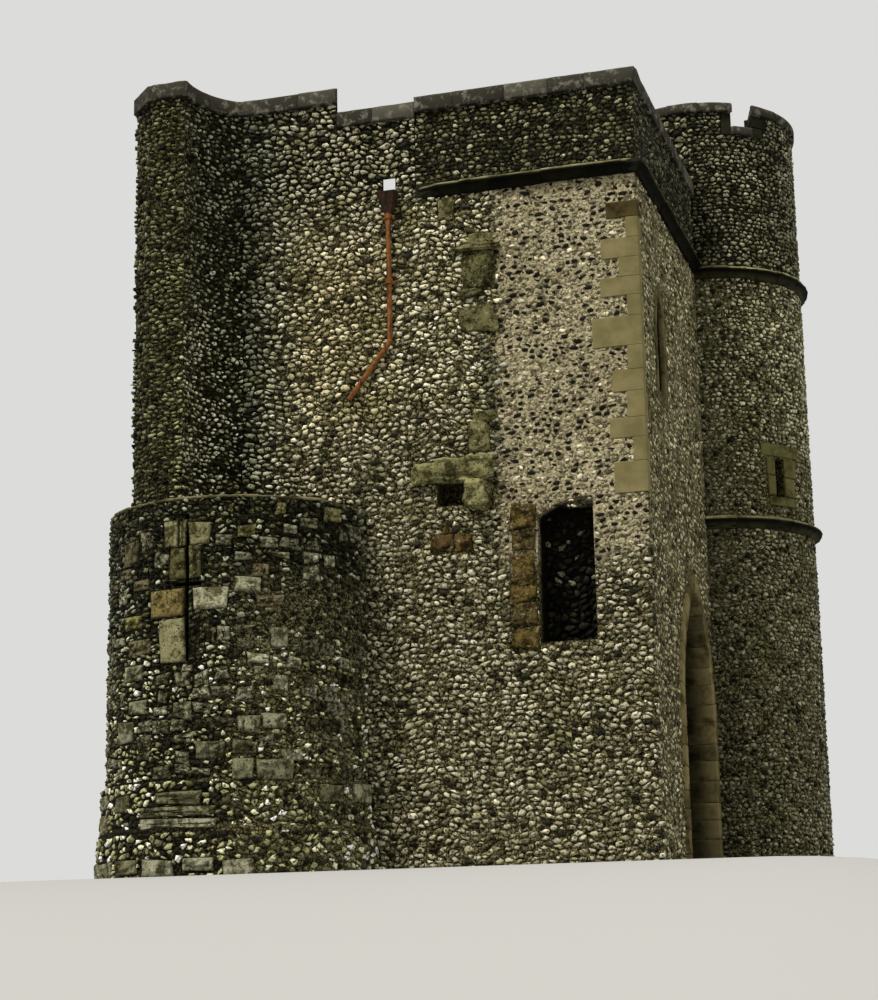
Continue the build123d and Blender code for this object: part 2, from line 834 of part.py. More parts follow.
with BuildPart() as turret_coping:
    outer_edge = turret_radius + coping_overhang
    inner_edge = turret_parapet_bore - coping_overhang
    add(turret_ring(crenel_base, crenel_base + crenel_sill, outer_edge, inner_edge))
    add(crenel_blocks(crenel_base, merlon_top), mode=Mode.INTERSECT)
    add(turret_ring(merlon_top, turret_top, outer_edge, inner_edge))
    add(crenel_blocks(merlon_top, turret_top), mode=Mode.SUBTRACT)
    rim = turret_coping.edges().group_by(Axis.Z)[-1].filter_by(GeomType.CIRCLE)
    chamfer(rim, length=turret_coping_bevel)
finish(turret_coping.part, "turret_coping")

with BuildPart() as turret_strings:
    for level in (turret_lower_string, turret_upper_string - string_height):
        section_plane = Plane(
            origin=(turret_x + turret_radius + seat_gap, half_width, level),
            x_dir=(1, 0, 0),
            z_dir=(0, -1, 0),
        )
        turret_axis = Axis((turret_x, half_width, 0), (0, 0, 1))
        revolve(profiles=string_section(section_plane), axis=turret_axis)
    add(block_room.part, mode=Mode.SUBTRACT)
finish(turret_strings.part, "turret_strings")

# Broken stones around the old opening in the near flank
with BuildPart() as flank_scar_stones:
    with BuildSketch(Plane.XZ.offset(half_width)):
        with Locations((x_rear - opening_from_corner, opening_sill + opening_height + lintel_height / 2)):
            Rectangle(lintel_width, lintel_height)
    extrude(amount=lintel_proud)
    with BuildSketch(Plane.XZ.offset(half_width)):
        corbel_x = x_rear - opening_from_corner + opening_width / 2 + corbel_radius
        with Locations((corbel_x, opening_sill + corbel_radius - lintel_proud)):
            Circle(corbel_radius)
    extrude(amount=corbel_proud)
    with BuildSketch(Plane.XZ.offset(half_width)):
        with Locations((recess_left - jamb_width / 2, recess_low_head + jamb_proud - jamb_height / 2)):
            Rectangle(jamb_width, jamb_height)
    extrude(amount=jamb_proud)
finish(flank_scar_stones.part, "flank_scar_stones")

# Rainwater goods below the drain hole
hopper_top = drain_sill
outlet = collar_diameter / 2
pipe_y = -half_width - pipe_standoff - pipe_diameter / 2
pipe_top = hopper_top - hopper_height

with BuildPart() as hopper_head:
    with BuildSketch(Plane.XY.offset(hopper_top)):
        mouth = hopper_width / 2
        plan_rectangle(drain_x - mouth, drain_x + mouth, -half_width - hopper_depth, -half_width)
    with BuildSketch(Plane.XY.offset(pipe_top)):
        plan_rectangle(drain_x - outlet, drain_x + outlet, pipe_y - outlet, -half_width)
    loft(ruled=True)
    offset(amount=-hopper_wall, openings=hopper_head.faces().group_by(Axis.Z)[-1])
finish(hopper_head.part, "hopper_head")

with BuildPart() as downpipe:
    pipe_head = (drain_x, pipe_y, pipe_top)
    leg_start = (drain_x, pipe_y, pipe_foot)
    leg_end = (drain_x - pipe_leg_run, pipe_y, pipe_foot - pipe_leg_drop)
    with BuildLine() as pipe_path:
        FilletPolyline(pipe_head, leg_start, leg_end, radius=pipe_bend_radius)
    with BuildSketch(Plane.XY.offset(pipe_top)):
        with Locations((drain_x, pipe_y)):
            Circle(pipe_diameter / 2)
    sweep(path=pipe_path.wires()[0])
    for level in (pipe_top - collar_height, pipe_top - lower_collar_drop):
        with BuildSketch(Plane.XY.offset(level)):
            with Locations((drain_x, pipe_y)):
                Circle(collar_diameter / 2)
        extrude(amount=collar_height)
        with BuildSketch(Plane.XY.offset(level)):
            plan_rectangle(drain_x - lug_width / 2, drain_x + lug_width / 2, pipe_y, -half_width)
        extrude(amount=lug_height)
finish(downpipe.part, "downpipe")
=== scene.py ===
import functools
import math
import bpy
import numpy as np
from mathutils import Matrix, Vector


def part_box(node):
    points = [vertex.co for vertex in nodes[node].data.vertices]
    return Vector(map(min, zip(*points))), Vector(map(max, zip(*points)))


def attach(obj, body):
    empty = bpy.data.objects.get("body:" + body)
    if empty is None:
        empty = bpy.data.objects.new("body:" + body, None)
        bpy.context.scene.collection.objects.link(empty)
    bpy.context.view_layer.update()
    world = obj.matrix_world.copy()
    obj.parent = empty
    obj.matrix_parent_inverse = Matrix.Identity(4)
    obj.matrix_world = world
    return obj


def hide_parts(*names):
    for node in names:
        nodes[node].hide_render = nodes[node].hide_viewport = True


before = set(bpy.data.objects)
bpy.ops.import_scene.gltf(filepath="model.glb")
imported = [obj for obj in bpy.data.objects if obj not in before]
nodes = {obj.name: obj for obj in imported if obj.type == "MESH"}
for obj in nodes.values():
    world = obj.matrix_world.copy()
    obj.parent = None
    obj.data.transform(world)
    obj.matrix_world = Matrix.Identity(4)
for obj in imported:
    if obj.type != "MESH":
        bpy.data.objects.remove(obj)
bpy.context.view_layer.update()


# Rubble walls
# The walls are flint rubble packed in lime mortar, one mass from face to face. Rain and soot have turned the
# mortar nearly black in the open joints, and it is paler where the flank was patched and on the inner face.
flank_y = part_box("near_flank_upper")[0].y
rear_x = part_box("rear_wall_upper")[1].x
front_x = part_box("front_wall_upper")[0].x
drum_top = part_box("near_drum_cap")[1].z


def linear(hex_colour):
    """Linear colour of an sRGB hex value: each channel goes through the standard sRGB curve."""
    channels = np.array([int(hex_colour[k : k + 2], 16) for k in (1, 3, 5)]) / 255
    curved = ((channels + 0.055) / 1.055) ** 2.4
    return (*np.where(channels <= 0.04045, channels / 12.92, curved), 1.0)


def feed(made, inputs):
    """Gives each listed input of a node a number, a hex colour or another node's output."""
    for socket, source in inputs.items():
        if isinstance(source, bpy.types.NodeSocket):
            made.id_data.links.new(source, made.inputs[socket])
        else:
            made.inputs[socket].default_value = linear(source) if isinstance(source, str) else source


def add_node(tree, kind, inputs=None, output=0, **settings):
    """Adds one shader node with its inputs and settings, and returns one of its outputs."""
    made = tree.nodes.new("ShaderNode" + kind)
    for setting, value in settings.items():
        setattr(made, setting, value)
    feed(made, inputs or {})
    return made.outputs[output] if made.outputs else None


def new_finish(name, roughness, specular):
    """An empty material: returns it, the function that adds a node to it, and its Object coordinates."""
    finish = bpy.data.materials.new(name)
    finish.use_nodes = True
    feed(finish.node_tree.nodes["Principled BSDF"], {"Roughness": roughness, "Specular IOR Level": specular})
    add = functools.partial(add_node, finish.node_tree)
    return finish, add, add("TexCoord", output="Object")


def within(add, *edges):
    """A mask that is 1 where every edge is passed. An edge is a value, where its smooth step begins and ends."""
    mask = None
    for value, begin, end in edges:
        step = add("MapRange", {0: value, 1: begin, 2: end}, interpolation_type="SMOOTHSTEP")
        mask = step if mask is None else add("Math", {0: mask, 1: step}, operation="MULTIPLY")
    return mask


def laid(add, colour, over, *edges, way="MIX", share=1.0):
    """A colour with another laid over it where every edge is passed, in the given way and at the given share."""
    mask = within(add, *edges)
    if share < 1:
        mask = add("Math", {0: mask, 1: share}, operation="MULTIPLY")
    return add("Mix", {0: mask, 6: colour, 7: over}, 2, data_type="RGBA", blend_type=way)


def surface(finish, inputs, height, strength, depth):
    """Feeds a material's shader its inputs and a relief; depth is the relief's full height in metres."""
    relief = add_node(finish.node_tree, "Bump", {"Height": height, "Strength": strength, "Distance": depth})
    feed(finish.node_tree.nodes["Principled BSDF"], inputs | {"Normal": relief})


def dress(names, finish):
    """Gives CAD nodes their finish."""
    for name in names:
        mesh = nodes[name].data
        mesh.materials.clear()
        mesh.materials.append(finish)


# Lime mortar with grit to 8 mm and flint chips to 40 mm pushed into it: matt, pitted, blotched by damp over 1.5 m.
# It is olive grey on the old work, sooty by the cove and on the parapets, and pale beige on the repaired patch.
lime_mortar, add, place = new_finish("weathered_lime_mortar", 0.95, 0.05)
axis_x, axis_y, axis_z = add("SeparateXYZ", {0: place}).node.outputs
damp = within(add, (add("TexNoise", {"Vector": place, "Scale": 0.8, "Detail": 6.0}), 0.3, 0.7))
grit = add("TexNoise", {"Vector": place, "Scale": 55.0, "Detail": 4.0})
lump = add("TexNoise", {"Vector": place, "Scale": 8.0, "Detail": 3.0})
chips = add("TexVoronoi", {"Vector": place, "Scale": 26.0, "Randomness": 1.0}).node.outputs
old_mortar, patch_mortar, rear_mortar = (
    add("Mix", {0: damp, 6: dull, 7: clean}, 2, data_type="RGBA")
    for dull, clean in (("#767252", "#8f8a6a"), ("#ada489", "#c0b79c"), ("#686549", "#807c5e"))
)

# Soot and damp by the cove, on the parapets and round the drums' rims, then on the piers; painted shade keeps
# the recess near black; then the cracks.
by_cove = add("Math", {0: lump, 1: 1.2, 2: axis_x}, operation="MULTIPLY_ADD")
high_up = add("Math", {0: lump, 1: 1.0, 2: axis_z}, operation="MULTIPLY_ADD")
sooty = within(add, (by_cove, -1.2, -2.4))
for sooty_part in (
    within(add, (high_up, 10.5, 11.6)),
    within(add, (axis_z, 3.8, 4.8), (axis_y, flank_y - 0.1, flank_y - 0.4)),
):
    sooty = add("Math", {0: sooty, 1: sooty_part}, operation="MAXIMUM")
old_mortar = add("Mix", {0: sooty, 6: old_mortar, 7: "#363524"}, 2, data_type="RGBA")
old_mortar = laid(
    add, old_mortar, "#54523a", (axis_y, flank_y - 0.5, flank_y - 0.8), (axis_z, drum_top - 0.1, drum_top)
)
recess_edges = (
    (axis_y, flank_y + 0.05, flank_y + 0.25), (axis_y, flank_y + 0.8, flank_y + 0.7), (axis_x, 1.65, 1.70),
    (axis_x, 2.70, 2.65), (axis_z, 3.3, 3.4), (axis_z, 5.6, 5.5),
)
# Painted shade: the recess's back and sides are laid near black.
old_mortar = laid(add, old_mortar, "#1c1b12", *recess_edges)
warp = add("TexNoise", {"Vector": place, "Scale": 12.0, "Detail": 3.0}, "Color")
warped = add("VectorMath", {0: warp, 1: (0.08, 0.08, 0.08), 2: place}, operation="MULTIPLY_ADD")
crack = add("TexVoronoi", {"Vector": warped, "Scale": 15.0}, "Distance", feature="DISTANCE_TO_EDGE")
old_mortar = laid(add, old_mortar, "#4a4733", (crack, 0.17, 0.02), way="MULTIPLY")

# The repaired patch has a ragged left edge, and the inner face beside it is duller.
patch_mortar = laid(add, patch_mortar, rear_mortar, (axis_x, 3.44, 3.455))
# Painted shade: the recess stays near black on the patch as well.
patch_mortar = laid(add, patch_mortar, "#1c1b12", *recess_edges)
ragged = add("Math", {0: lump, 1: 0.5, 2: axis_x}, operation="MULTIPLY_ADD")
colour = laid(
    add, old_mortar, patch_mortar, (ragged, 1.34, 1.56), (axis_z, 4.3, 5.0), (axis_z, 10.72, 10.62),
    (axis_y, 1.9, 1.7),
)
chip_tone = add("SeparateXYZ", {0: chips["Color"]})
colour = laid(add, colour, "#85857a", (chip_tone, 0.7, 0.1), way="MULTIPLY")
colour = add("Mix", {0: grit, 6: colour, 7: "#b5b09a"}, 2, data_type="RGBA", blend_type="MULTIPLY")
coarse = add("Math", {0: lump, 1: 3.0, 2: grit}, operation="MULTIPLY_ADD")
coarse = add("Math", {0: chips["Distance"], 1: -2.0, 2: coarse}, operation="MULTIPLY_ADD")
surface(lime_mortar, {"Base Color": colour}, coarse, 0.8, 0.014)


dress([name for name in nodes if "wall" in name or "flank_" in name and "scar" not in name], lime_mortar)
dress([name for name in nodes if name.endswith(("_pier", "_parapet", "_stage", "_plinth"))], lime_mortar)
dress(["near_drum_cap", "far_drum_cap"], lime_mortar)


# Flint facing of the near flank and the inner face
# Whole and broken flint nodules, about 0.12 m across, bedded by hand in rough courses and standing 10 to 45 mm
# out of the mortar. The flank is old work of big nodules with a patch of small knapped flints at its right.
def wall_line(points, start=0.0, ease=0.03):
    """Outer line of a wall in plan, walked with the open air on the right.

    The chart it returns takes the distance along the line, the height, and how far the place stands out from the
    face. The outward direction is square to the line, eased over 30 mm each way so that corners are rounded.
    """
    points = np.asarray(points, float)
    steps = np.hypot(*np.diff(points, axis=0).T)
    along = start + np.concatenate(([0.0], np.cumsum(steps)))

    def chart(s, z, out):
        s = np.clip(s, along[0], along[-1])
        ahead = np.clip(s + ease, along[0], along[-1])
        behind = np.clip(s - ease, along[0], along[-1])
        dx = np.interp(ahead, along, points[:, 0]) - np.interp(behind, along, points[:, 0])
        dy = np.interp(ahead, along, points[:, 1]) - np.interp(behind, along, points[:, 1])
        size = np.hypot(dx, dy)
        x = np.interp(s, along, points[:, 0]) + out * dy / size
        y = np.interp(s, along, points[:, 1]) - out * dx / size
        return np.stack(np.broadcast_arrays(x, y, z), axis=-1)

    return chart


def mesh_piece(name, places, faces, tints, finish):
    """Puts arrays of places, triangles and colours into one mesh that rides on the building."""
    mesh = bpy.data.meshes.new(name)
    mesh.vertices.add(len(places))
    mesh.vertices.foreach_set("co", places.astype(np.float32).ravel())
    mesh.loops.add(faces.size)
    mesh.loops.foreach_set("vertex_index", faces.astype(np.int32).ravel())
    mesh.polygons.add(len(faces))
    mesh.polygons.foreach_set("loop_start", np.arange(0, faces.size, 3, dtype=np.int32))
    mesh.update(calc_edges=True)
    mesh.validate()
    attribute = mesh.color_attributes.new("tint", "FLOAT_COLOR", "POINT")
    alpha = np.ones((len(tints), 1))
    attribute.data.foreach_set("color", np.hstack((tints, alpha)).astype(np.float32).ravel())
    mesh.materials.append(finish)
    piece = bpy.data.objects.new(name, mesh)
    bpy.context.scene.collection.objects.link(piece)
    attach(piece, "root")
    return piece


def palette(shares):
    """Hex colours with their shares, as an array of linear colours and an array of shares that add up to 1."""
    colours = np.array([linear(colour)[:3] for colour in shares])
    parts = np.array(list(shares.values()), float)
    return colours, parts / parts.sum()


def drawn_colours(rng, shares, count, spread):
    """A colour for each of count stones: drawn by the palette's shares, then lightened or darkened at random."""
    colours, parts = palette(shares)
    return colours[rng.choice(len(colours), count, p=parts)] * rng.lognormal(0, spread, (count, 1))


def grid_faces(rows, columns, closed=False):
    """Two triangles for each cell of a grid of places; closed joins the end of every row to its beginning."""
    row, column = np.meshgrid(np.arange(rows - 1), np.arange(columns if closed else columns - 1), indexing="ij")
    first = (row * columns + column).ravel()
    second = (row * columns + (column + 1) % columns).ravel()
    return np.concatenate((
        np.stack((first, second, second + columns), axis=1),
        np.stack((first, second + columns, first + columns), axis=1),
    ))


def copies(pattern, size, count):
    """The triangles of count pieces that have size places each."""
    return (pattern[None] + size * np.arange(count)[:, None, None]).reshape(-1, 3)


def clear_of(s, z, blocks):
    """True where a place lies in none of the rectangles."""
    free = np.ones(np.shape(s), bool)
    for s0, s1, z0, z1 in blocks:
        free &= (s < s0) | (s > s1) | (z < z0) | (z > z1)
    return free


def free_share(s, z, ds, dz, blocks):
    """Share of each step (ds, dz) from (s, z) that is free before the step meets a rectangle, by the slab method."""
    share = np.ones(np.broadcast_shapes(np.shape(s), np.shape(ds)))
    ds, dz = np.where(np.abs(ds) < 1e-9, 1e-9, ds), np.where(np.abs(dz) < 1e-9, 1e-9, dz)
    for s0, s1, z0, z1 in blocks:
        a, b = (s0 - s) / ds, (s1 - s) / ds
        c, d = (z0 - z) / dz, (z1 - z) / dz
        enter = np.maximum(np.minimum(a, b), np.minimum(c, d))
        leave = np.minimum(np.maximum(a, b), np.maximum(c, d))
        share = np.where((enter >= 0) & (enter < leave), np.minimum(share, enter), share)
    return share


def flint_field(name, chart, span, levels, spacing, shares, seed, blocks=(), keep=None, shade=None, knapped=None,
                joint=0.009, proud=(0.012, 0.042), sides=6, fill=1.25, coursed=0.0, darkening=0.8):
    """Flints over a stretch of wall, one mesh.

    Sites stand on jittered courses that wander in slow waves. Each flint is its site's cell in a weighted Voronoi
    pattern: along each of its rays the reach is the least of (d.d + w - w') / (2 d.ray) over the neighbouring
    sites, of a random oval's radius, and of the way to the first rectangle that stays clear. The cell is drawn in
    by the joint, and rises from a ring in the mortar over a shoulder ring to a crown, tilted at random. Its upper
    side and crown are painted lighter, partly rain-washing and partly painted light from above; its foot is dark
    with soot and painted shade, darkest on its lower edge. Fill sets how much of its cell a flint takes, coursed
    how level the courses run and the last argument how dark the foot is, both from 0 to 1.
    """
    rng = np.random.default_rng(seed)
    columns = max(2, round((span[1] - span[0]) / spacing[0]))
    courses = max(2, round((levels[1] - levels[0]) / spacing[1]))
    width, height = (span[1] - span[0]) / columns, (levels[1] - levels[0]) / courses
    phases = rng.uniform(0, 6.3, 5)

    def on_wall(a, b):
        s, z = span[0] + a * width, levels[0] + b * height
        waves = 0.34 * np.sin(4.1 * s + phases[0]) + 0.30 * np.sin(9.7 * s + 2.3 * z + phases[1])
        sway = 0.16 * np.sin(6.1 * z + phases[2]) + 0.16 * np.sin(13.0 * z + 3.0 * s + phases[3])
        return s + sway * width, z + (1 - 0.7 * coursed) * waves * height

    i, j = np.meshgrid(np.arange(-4, columns + 4), np.arange(-4, courses + 4))
    wide_s = i + 0.5 * (j % 2) + rng.uniform(0.02, 0.98, i.shape)
    wide_z = j + 0.5 + (1 - 0.75 * coursed) * rng.uniform(-0.42, 0.42, i.shape)
    weight = rng.uniform(-0.28, 0.28, i.shape)
    place_s, place_z = on_wall(wide_s, wide_z)
    live = clear_of(place_s, place_z, blocks)
    live &= (place_s > span[0]) & (place_s < span[1]) & (place_z > levels[0]) & (place_z < levels[1])
    inner = (slice(2, -2), slice(2, -2))
    own_s, own_z, own_weight = wide_s[inner], wide_z[inner], weight[inner]
    turn = rng.uniform(0, 2 * np.pi, own_s.shape)[..., None]
    angle = turn + 2 * np.pi * (np.arange(sides) + rng.uniform(-0.34, 0.34, (*own_s.shape, sides))) / sides
    ray_s, ray_z = np.cos(angle), np.sin(angle)
    lie = rng.normal(0, 0.5, own_s.shape)[..., None]
    long, short = fill * rng.uniform(0.52, 1.05, (2, *own_s.shape, 1)) * np.array((1.0, 0.72))[:, None, None, None]
    reach = 1 / np.hypot(np.cos(angle - lie) / long, np.sin(angle - lie) / short)
    for dj in range(-2, 3):
        for di in range(-2, 3):
            if di or dj:
                other = (slice(2 + dj, dj - 2 or None), slice(2 + di, di - 2 or None))
                ds, dz = wide_s[other] - own_s, wide_z[other] - own_z
                facing = ds[..., None] * ray_s + dz[..., None] * ray_z
                edge = (ds**2 + dz**2 + own_weight - weight[other])[..., None] / (2 * np.maximum(facing, 1e-6))
                near = (facing > 1e-3) & live[other][..., None]
                reach = np.where(near, np.minimum(reach, edge), reach)
    kept = live[inner] & (reach.min(axis=-1) > 0.06)
    if keep is not None:
        kept &= keep(place_s[inner], place_z[inner])
    own_s, own_z, reach = own_s[kept][:, None], own_z[kept][:, None], reach[kept]
    site_s, site_z = on_wall(own_s, own_z)
    ring_s, ring_z = on_wall(own_s + reach * ray_s[kept], own_z + reach * ray_z[kept])
    step_s, step_z = ring_s - site_s, ring_z - site_z
    share = free_share(site_s, site_z, step_s, step_z, blocks)
    length = np.hypot(step_s, step_z) * share
    count = len(length)
    gap = 0.5 * joint * rng.uniform(0.4, 1.8, (count, 1))
    share = share * np.maximum(1 - gap / length, 0.35) * rng.uniform(0.93, 1.03, length.shape)
    ring_s = np.clip(site_s + step_s * share, *span)
    ring_z = np.clip(site_z + step_z * share, *levels)
    mid_s, mid_z = ring_s.mean(axis=1, keepdims=True), ring_z.mean(axis=1, keepdims=True)
    stand = rng.uniform(*proud, (count, 1))
    tilt_s, tilt_z = rng.normal(0, 0.18, (2, count, 1))
    shoulder = rng.uniform(0.76, 0.94, ring_s.shape)
    top_s, top_z = mid_s + (ring_s - mid_s) * shoulder, mid_z + (ring_z - mid_z) * shoulder
    top_out = stand * rng.uniform(0.66, 0.98, ring_s.shape) + tilt_s * (top_s - mid_s) + tilt_z * (top_z - mid_z)
    s = np.hstack((ring_s, top_s, mid_s + rng.normal(0, 0.006, (count, 1))))
    z = np.hstack((ring_z, top_z, mid_z + rng.normal(0, 0.006, (count, 1))))
    out = np.hstack((np.full(ring_s.shape, -0.006), np.maximum(top_out, 0.004), stand))
    places = chart(s, z, out).reshape(-1, 3)
    k = np.arange(sides)
    crown = np.stack((k + sides, (k + 1) % sides + sides, np.full(sides, 2 * sides)), axis=1)
    faces = copies(np.concatenate((grid_faces(2, sides, closed=True), crown)), 2 * sides + 1, count)
    own = drawn_colours(rng, shares, count, 0.15)
    if shade is not None:
        own = own * shade(mid_s[:, 0], mid_z[:, 0])
    if knapped is not None:
        black = rng.uniform(0, 1, count) < knapped(mid_s[:, 0], mid_z[:, 0])
        own = np.where(black[:, None], linear("#17150b")[:3], own)
    # Painted light from above: the upward side of each flint is lighter, partly as rain-washing.
    lit_and_washed = 0.95 + 0.12 * np.clip((top_z - mid_z) / (0.5 * height), -1, 1)
    lit_and_washed = lit_and_washed * rng.lognormal(0, 0.12, lit_and_washed.shape)
    # Soot and painted shade at the foot, darker on its lower edge.
    foot = 1 - darkening + 0.16 * np.clip((ring_z - mid_z) / (0.5 * height), -1, 1)
    soil_and_light = np.hstack((foot, lit_and_washed, np.full((count, 1), 1.05)))
    tints = (own[:, None, :] * soil_and_light[:, :, None]).reshape(-1, 3).clip(0, 0.9)
    return mesh_piece(name, places, faces, tints, flint_cortex)


def fade(value, low, high):
    """Smooth step of an array, 0 at low and 1 at high."""
    t = np.clip((value - low) / (high - low), 0, 1)
    return t * t * (3 - 2 * t)


def patchy(s, z, seed):
    """Slow unevenness along a wall, about -1 to 1: a sum of sines of lengths from 0.6 to 3 m."""
    waves = np.random.default_rng(seed).uniform((-9, -9, 0), (9, 9, 6.3), (7, 3))
    total = sum(np.sin(a * s + b * z + c) for a, b, c in waves)
    return total / 4


# Flint has a chalky white skin over grey to black glass. The nodules broke into faces 20 to 40 mm wide, some of
# them dark, and lichen, moss and grime blotch the wall over half a metre and sit in the pits.
flint_cortex, add, place = new_finish("flint_nodules", 0.72, 0.10)
tint = add("Attribute", output="Color", attribute_name="tint")
skin = add("TexNoise", {"Vector": place, "Scale": 24.0, "Detail": 4.0, "Roughness": 0.6})
pits = add("TexNoise", {"Vector": place, "Scale": 90.0, "Detail": 3.0})
growth = add("TexNoise", {"Vector": place, "Scale": 1.7, "Detail": 6.0, "Roughness": 0.6})
shards = add("TexVoronoi", {"Vector": place, "Scale": 30.0, "Randomness": 1.0}, "Color")
glass = within(add, (add("SeparateXYZ", {0: shards}), 0.34, 0.16))
colour = add("Mix", {0: glass, 6: tint, 7: "#6f6c5c"}, 2, data_type="RGBA", blend_type="MULTIPLY")
colour = laid(add, colour, "#8f8b72", (skin, 0.47, 0.36), way="MULTIPLY")
colour = laid(add, colour, "#b8bb9c", (growth, 0.50, 0.66), way="MULTIPLY")
sheen = add("MapRange", {0: glass, 3: 0.85, 4: 0.5})
height = add("Math", {0: skin, 1: 2.5, 2: pits}, operation="MULTIPLY_ADD")
surface(flint_cortex, {"Base Color": colour, "Roughness": sheen}, height, 0.6, 0.008)

cove_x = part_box("near_pier")[1].x
string_base, string_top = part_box("string_course")[0].z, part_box("string_course")[1].z
low_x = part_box("string_course")[0].x

# Distances along this line equal X on the flank, and go on past the corner along the inner face.
turret_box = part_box("turret_upper_stage")
turret_x = (turret_box[0].x + turret_box[1].x) / 2
turret_y = (turret_box[0].y + turret_box[1].y) / 2
turret_radius = (turret_box[1].x - turret_box[0].x) / 2
turret_meets_rear = turret_y - math.sqrt(turret_radius**2 - (rear_x - turret_x) ** 2)
rear_end = rear_x + turret_meets_rear - flank_y
block_line = wall_line([(cove_x, flank_y), (rear_x, flank_y), (rear_x, turret_meets_rear)], start=cove_x)
corner = rear_x + 0.06

quoin_levels = [10.19, 9.93, 9.60, 9.28, 8.97, 8.67, 8.34, 7.87, 7.49, 7.15, 6.74, 6.43, 6.06, 5.58]
quoin_lengths = [0.48, 0.18, 0.58, 0.31, 0.61, 0.20, 0.76, 0.22, 0.48, 0.26, 0.54, 0.19, 0.50]
quoins = [
    (rear_x - length, rear_x + (0.13 if length > 0.35 else 0.2), low, high)
    for length, high, low in zip(quoin_lengths, quoin_levels, quoin_levels[1:])
]

recess = (1.74, 2.61, 3.4, 5.42)
opening = (0.17, 0.60, 5.6, 6.0)
drain = (-0.63, -0.43, 10.77, 11.05)
scars = [
    (0.54, 1.26, 9.66, 9.76),
    (0.67, 1.16, 9.02, 9.62),
    (0.62, 1.17, 8.36, 8.74),
    (0.28, 0.54, 10.24, 10.59),
    (0.79, 1.14, 9.78, 9.95),
    (0.70, 1.03, 6.41, 6.89),
    (-0.23, 1.05, 5.99, 6.32),
    (0.62, 1.05, 5.5, 5.96),
    (0.07, 0.73, 4.86, 5.16),
    (0.24, 0.40, 5.18, 5.36),
    (1.30, 1.71, 3.29, 5.53),
]
wall_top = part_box("near_parapet")[1].z
block_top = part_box("rear_parapet")[1].z
low_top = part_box("front_parapet")[1].z
merlon_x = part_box("near_copings")[0].x + 2.80
drum_meets_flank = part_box("near_drum_wall")[1].x
flank_blocks = quoins + scars + [recess, opening, drain]
flank_blocks += [
    (cove_x - 1, drum_meets_flank, -1, drum_top),
    (merlon_x, low_x, low_top, wall_top + 1),
    (low_x, rear_x + 1, string_base, wall_top + 1),
]


def on_panel(s, z):
    """The repaired patch at the right of the flank, with a ragged left edge."""
    edge = 1.14 + 0.10 * np.sin(5.1 * z) + 0.07 * np.sin(13.7 * z + 1)
    return (s > edge) & (z > 4.75 + 0.2 * np.sin(4 * s)) & (s < corner)


def flank_shade(s, z):
    """Damp and soot on the old flank: dark by the cove and under the copings, clean right of the downpipe."""
    level = 1.12 + 0.12 * patchy(s, z, 5)
    level *= 1 - 0.40 * fade(s, -2.2, -2.95) * fade(z, 5.5, 8.5)
    level *= 1 - 0.26 * fade(z, 9.8, 11.2)
    level *= 1 + 0.20 * fade(s, -0.6, 0.2) * fade(z, 7.2, 7.6) + 0.16 * fade(s, -2.6, -1.8) * fade(z, 6.4, 7.2)
    level *= 1 - 0.14 * fade(z, 7.3, 7.15) * fade(s, -1.5, -1.2)
    damp = fade(s, 0.86, 1.0) * fade(z, 8.5, 8.2) * fade(z, 5.7, 6.0)
    level *= 1 - 0.34 * damp
    warm = fade(s, -2.6, -1.8) * fade(s, -0.2, -0.8) * fade(z, 10.4, 9.6) * fade(z, 6.6, 7.4)
    green = fade(s, -1.9, -2.9)
    red = 1 + 0.06 * warm - 0.10 * green - 0.08 * damp
    return level[:, None] * np.stack((red, np.ones(s.shape), 0.97 - 0.12 * warm + 0.1 * damp), axis=1)


old_flints = {"#b4af97": 0.38, "#c5c0ab": 0.17, "#a09b81": 0.26, "#77725a": 0.12, "#2c2b20": 0.07}
flint_field(
    "flank_flints", block_line, (cove_x, corner), (0.0, wall_top), (0.128, 0.086), old_flints, 11,
    blocks=flank_blocks, keep=lambda s, z: ~on_panel(s, z), shade=flank_shade, joint=0.016, coursed=0.3,
)


def in_clusters(s, z):
    """Chance of a black knapped flint: small, and one in two along some short stretches of the courses."""
    return 0.38 + 0.30 * fade(patchy(0.55 * s, 1.6 * z, 31), 0.1, 0.8)


patch_flints = {"#b2a98b": 0.36, "#cfc7ab": 0.26, "#948b6e": 0.26, "#544e3a": 0.12}
flint_field(
    "patch_flints", block_line, (0.9, corner), (4.4, string_base), (0.132, 0.092), patch_flints, 12,
    blocks=flank_blocks, keep=on_panel, knapped=in_clusters, joint=0.026, proud=(0.003, 0.012), fill=0.95,
    coursed=0.8, darkening=0.35,
)

gate_ring = [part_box("rear_gate_arch")[0].y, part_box("rear_gate_arch")[1].y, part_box("rear_gate_arch")[1].z]


def arch_blocks(centre, half_width, spring, apex, steps=8):
    """Stacked rectangles that cover a pointed opening: the half width shrinks with the root of the height left."""
    rise = apex - spring
    radius = (rise**2 + half_width**2) / (2 * half_width)
    rows = [(centre - half_width, centre + half_width, -1.0, spring)]
    for step in range(steps):
        low, high = spring + rise * step / steps, spring + rise * (step + 1) / steps
        half = math.sqrt(radius**2 - (0.5 * (low + high) - spring) ** 2) - radius + half_width
        rows.append((centre - half, centre + half, low, high))
    return rows


gate_spring = 2.5
rear_gate = arch_blocks(rear_x - flank_y, gate_ring[1], gate_spring, gate_ring[2])
lancet_room, lancet_half = 0.46, 0.27
lancet_y = (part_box("lancet_frames")[0].y + lancet_room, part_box("lancet_frames")[1].y - lancet_room)
lancet_spring = 8.52
lancet_low, lancet_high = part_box("lancet_frames")[0].z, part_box("lancet_frames")[1].z


def lancet_blocks(centre):
    """Room in the facing for one lancet's stone frame."""
    rows = arch_blocks(centre, lancet_room, lancet_spring, lancet_high, steps=6)
    rows[0] = (centre - lancet_room, centre + lancet_room, lancet_low, lancet_spring)
    return rows


rear_lancet = rear_x - flank_y + lancet_y[0]
rear_flints = {"#b0a988": 0.36, "#d0c9a8": 0.16, "#8f8a68": 0.28, "#4e4a30": 0.12, "#262414": 0.08}


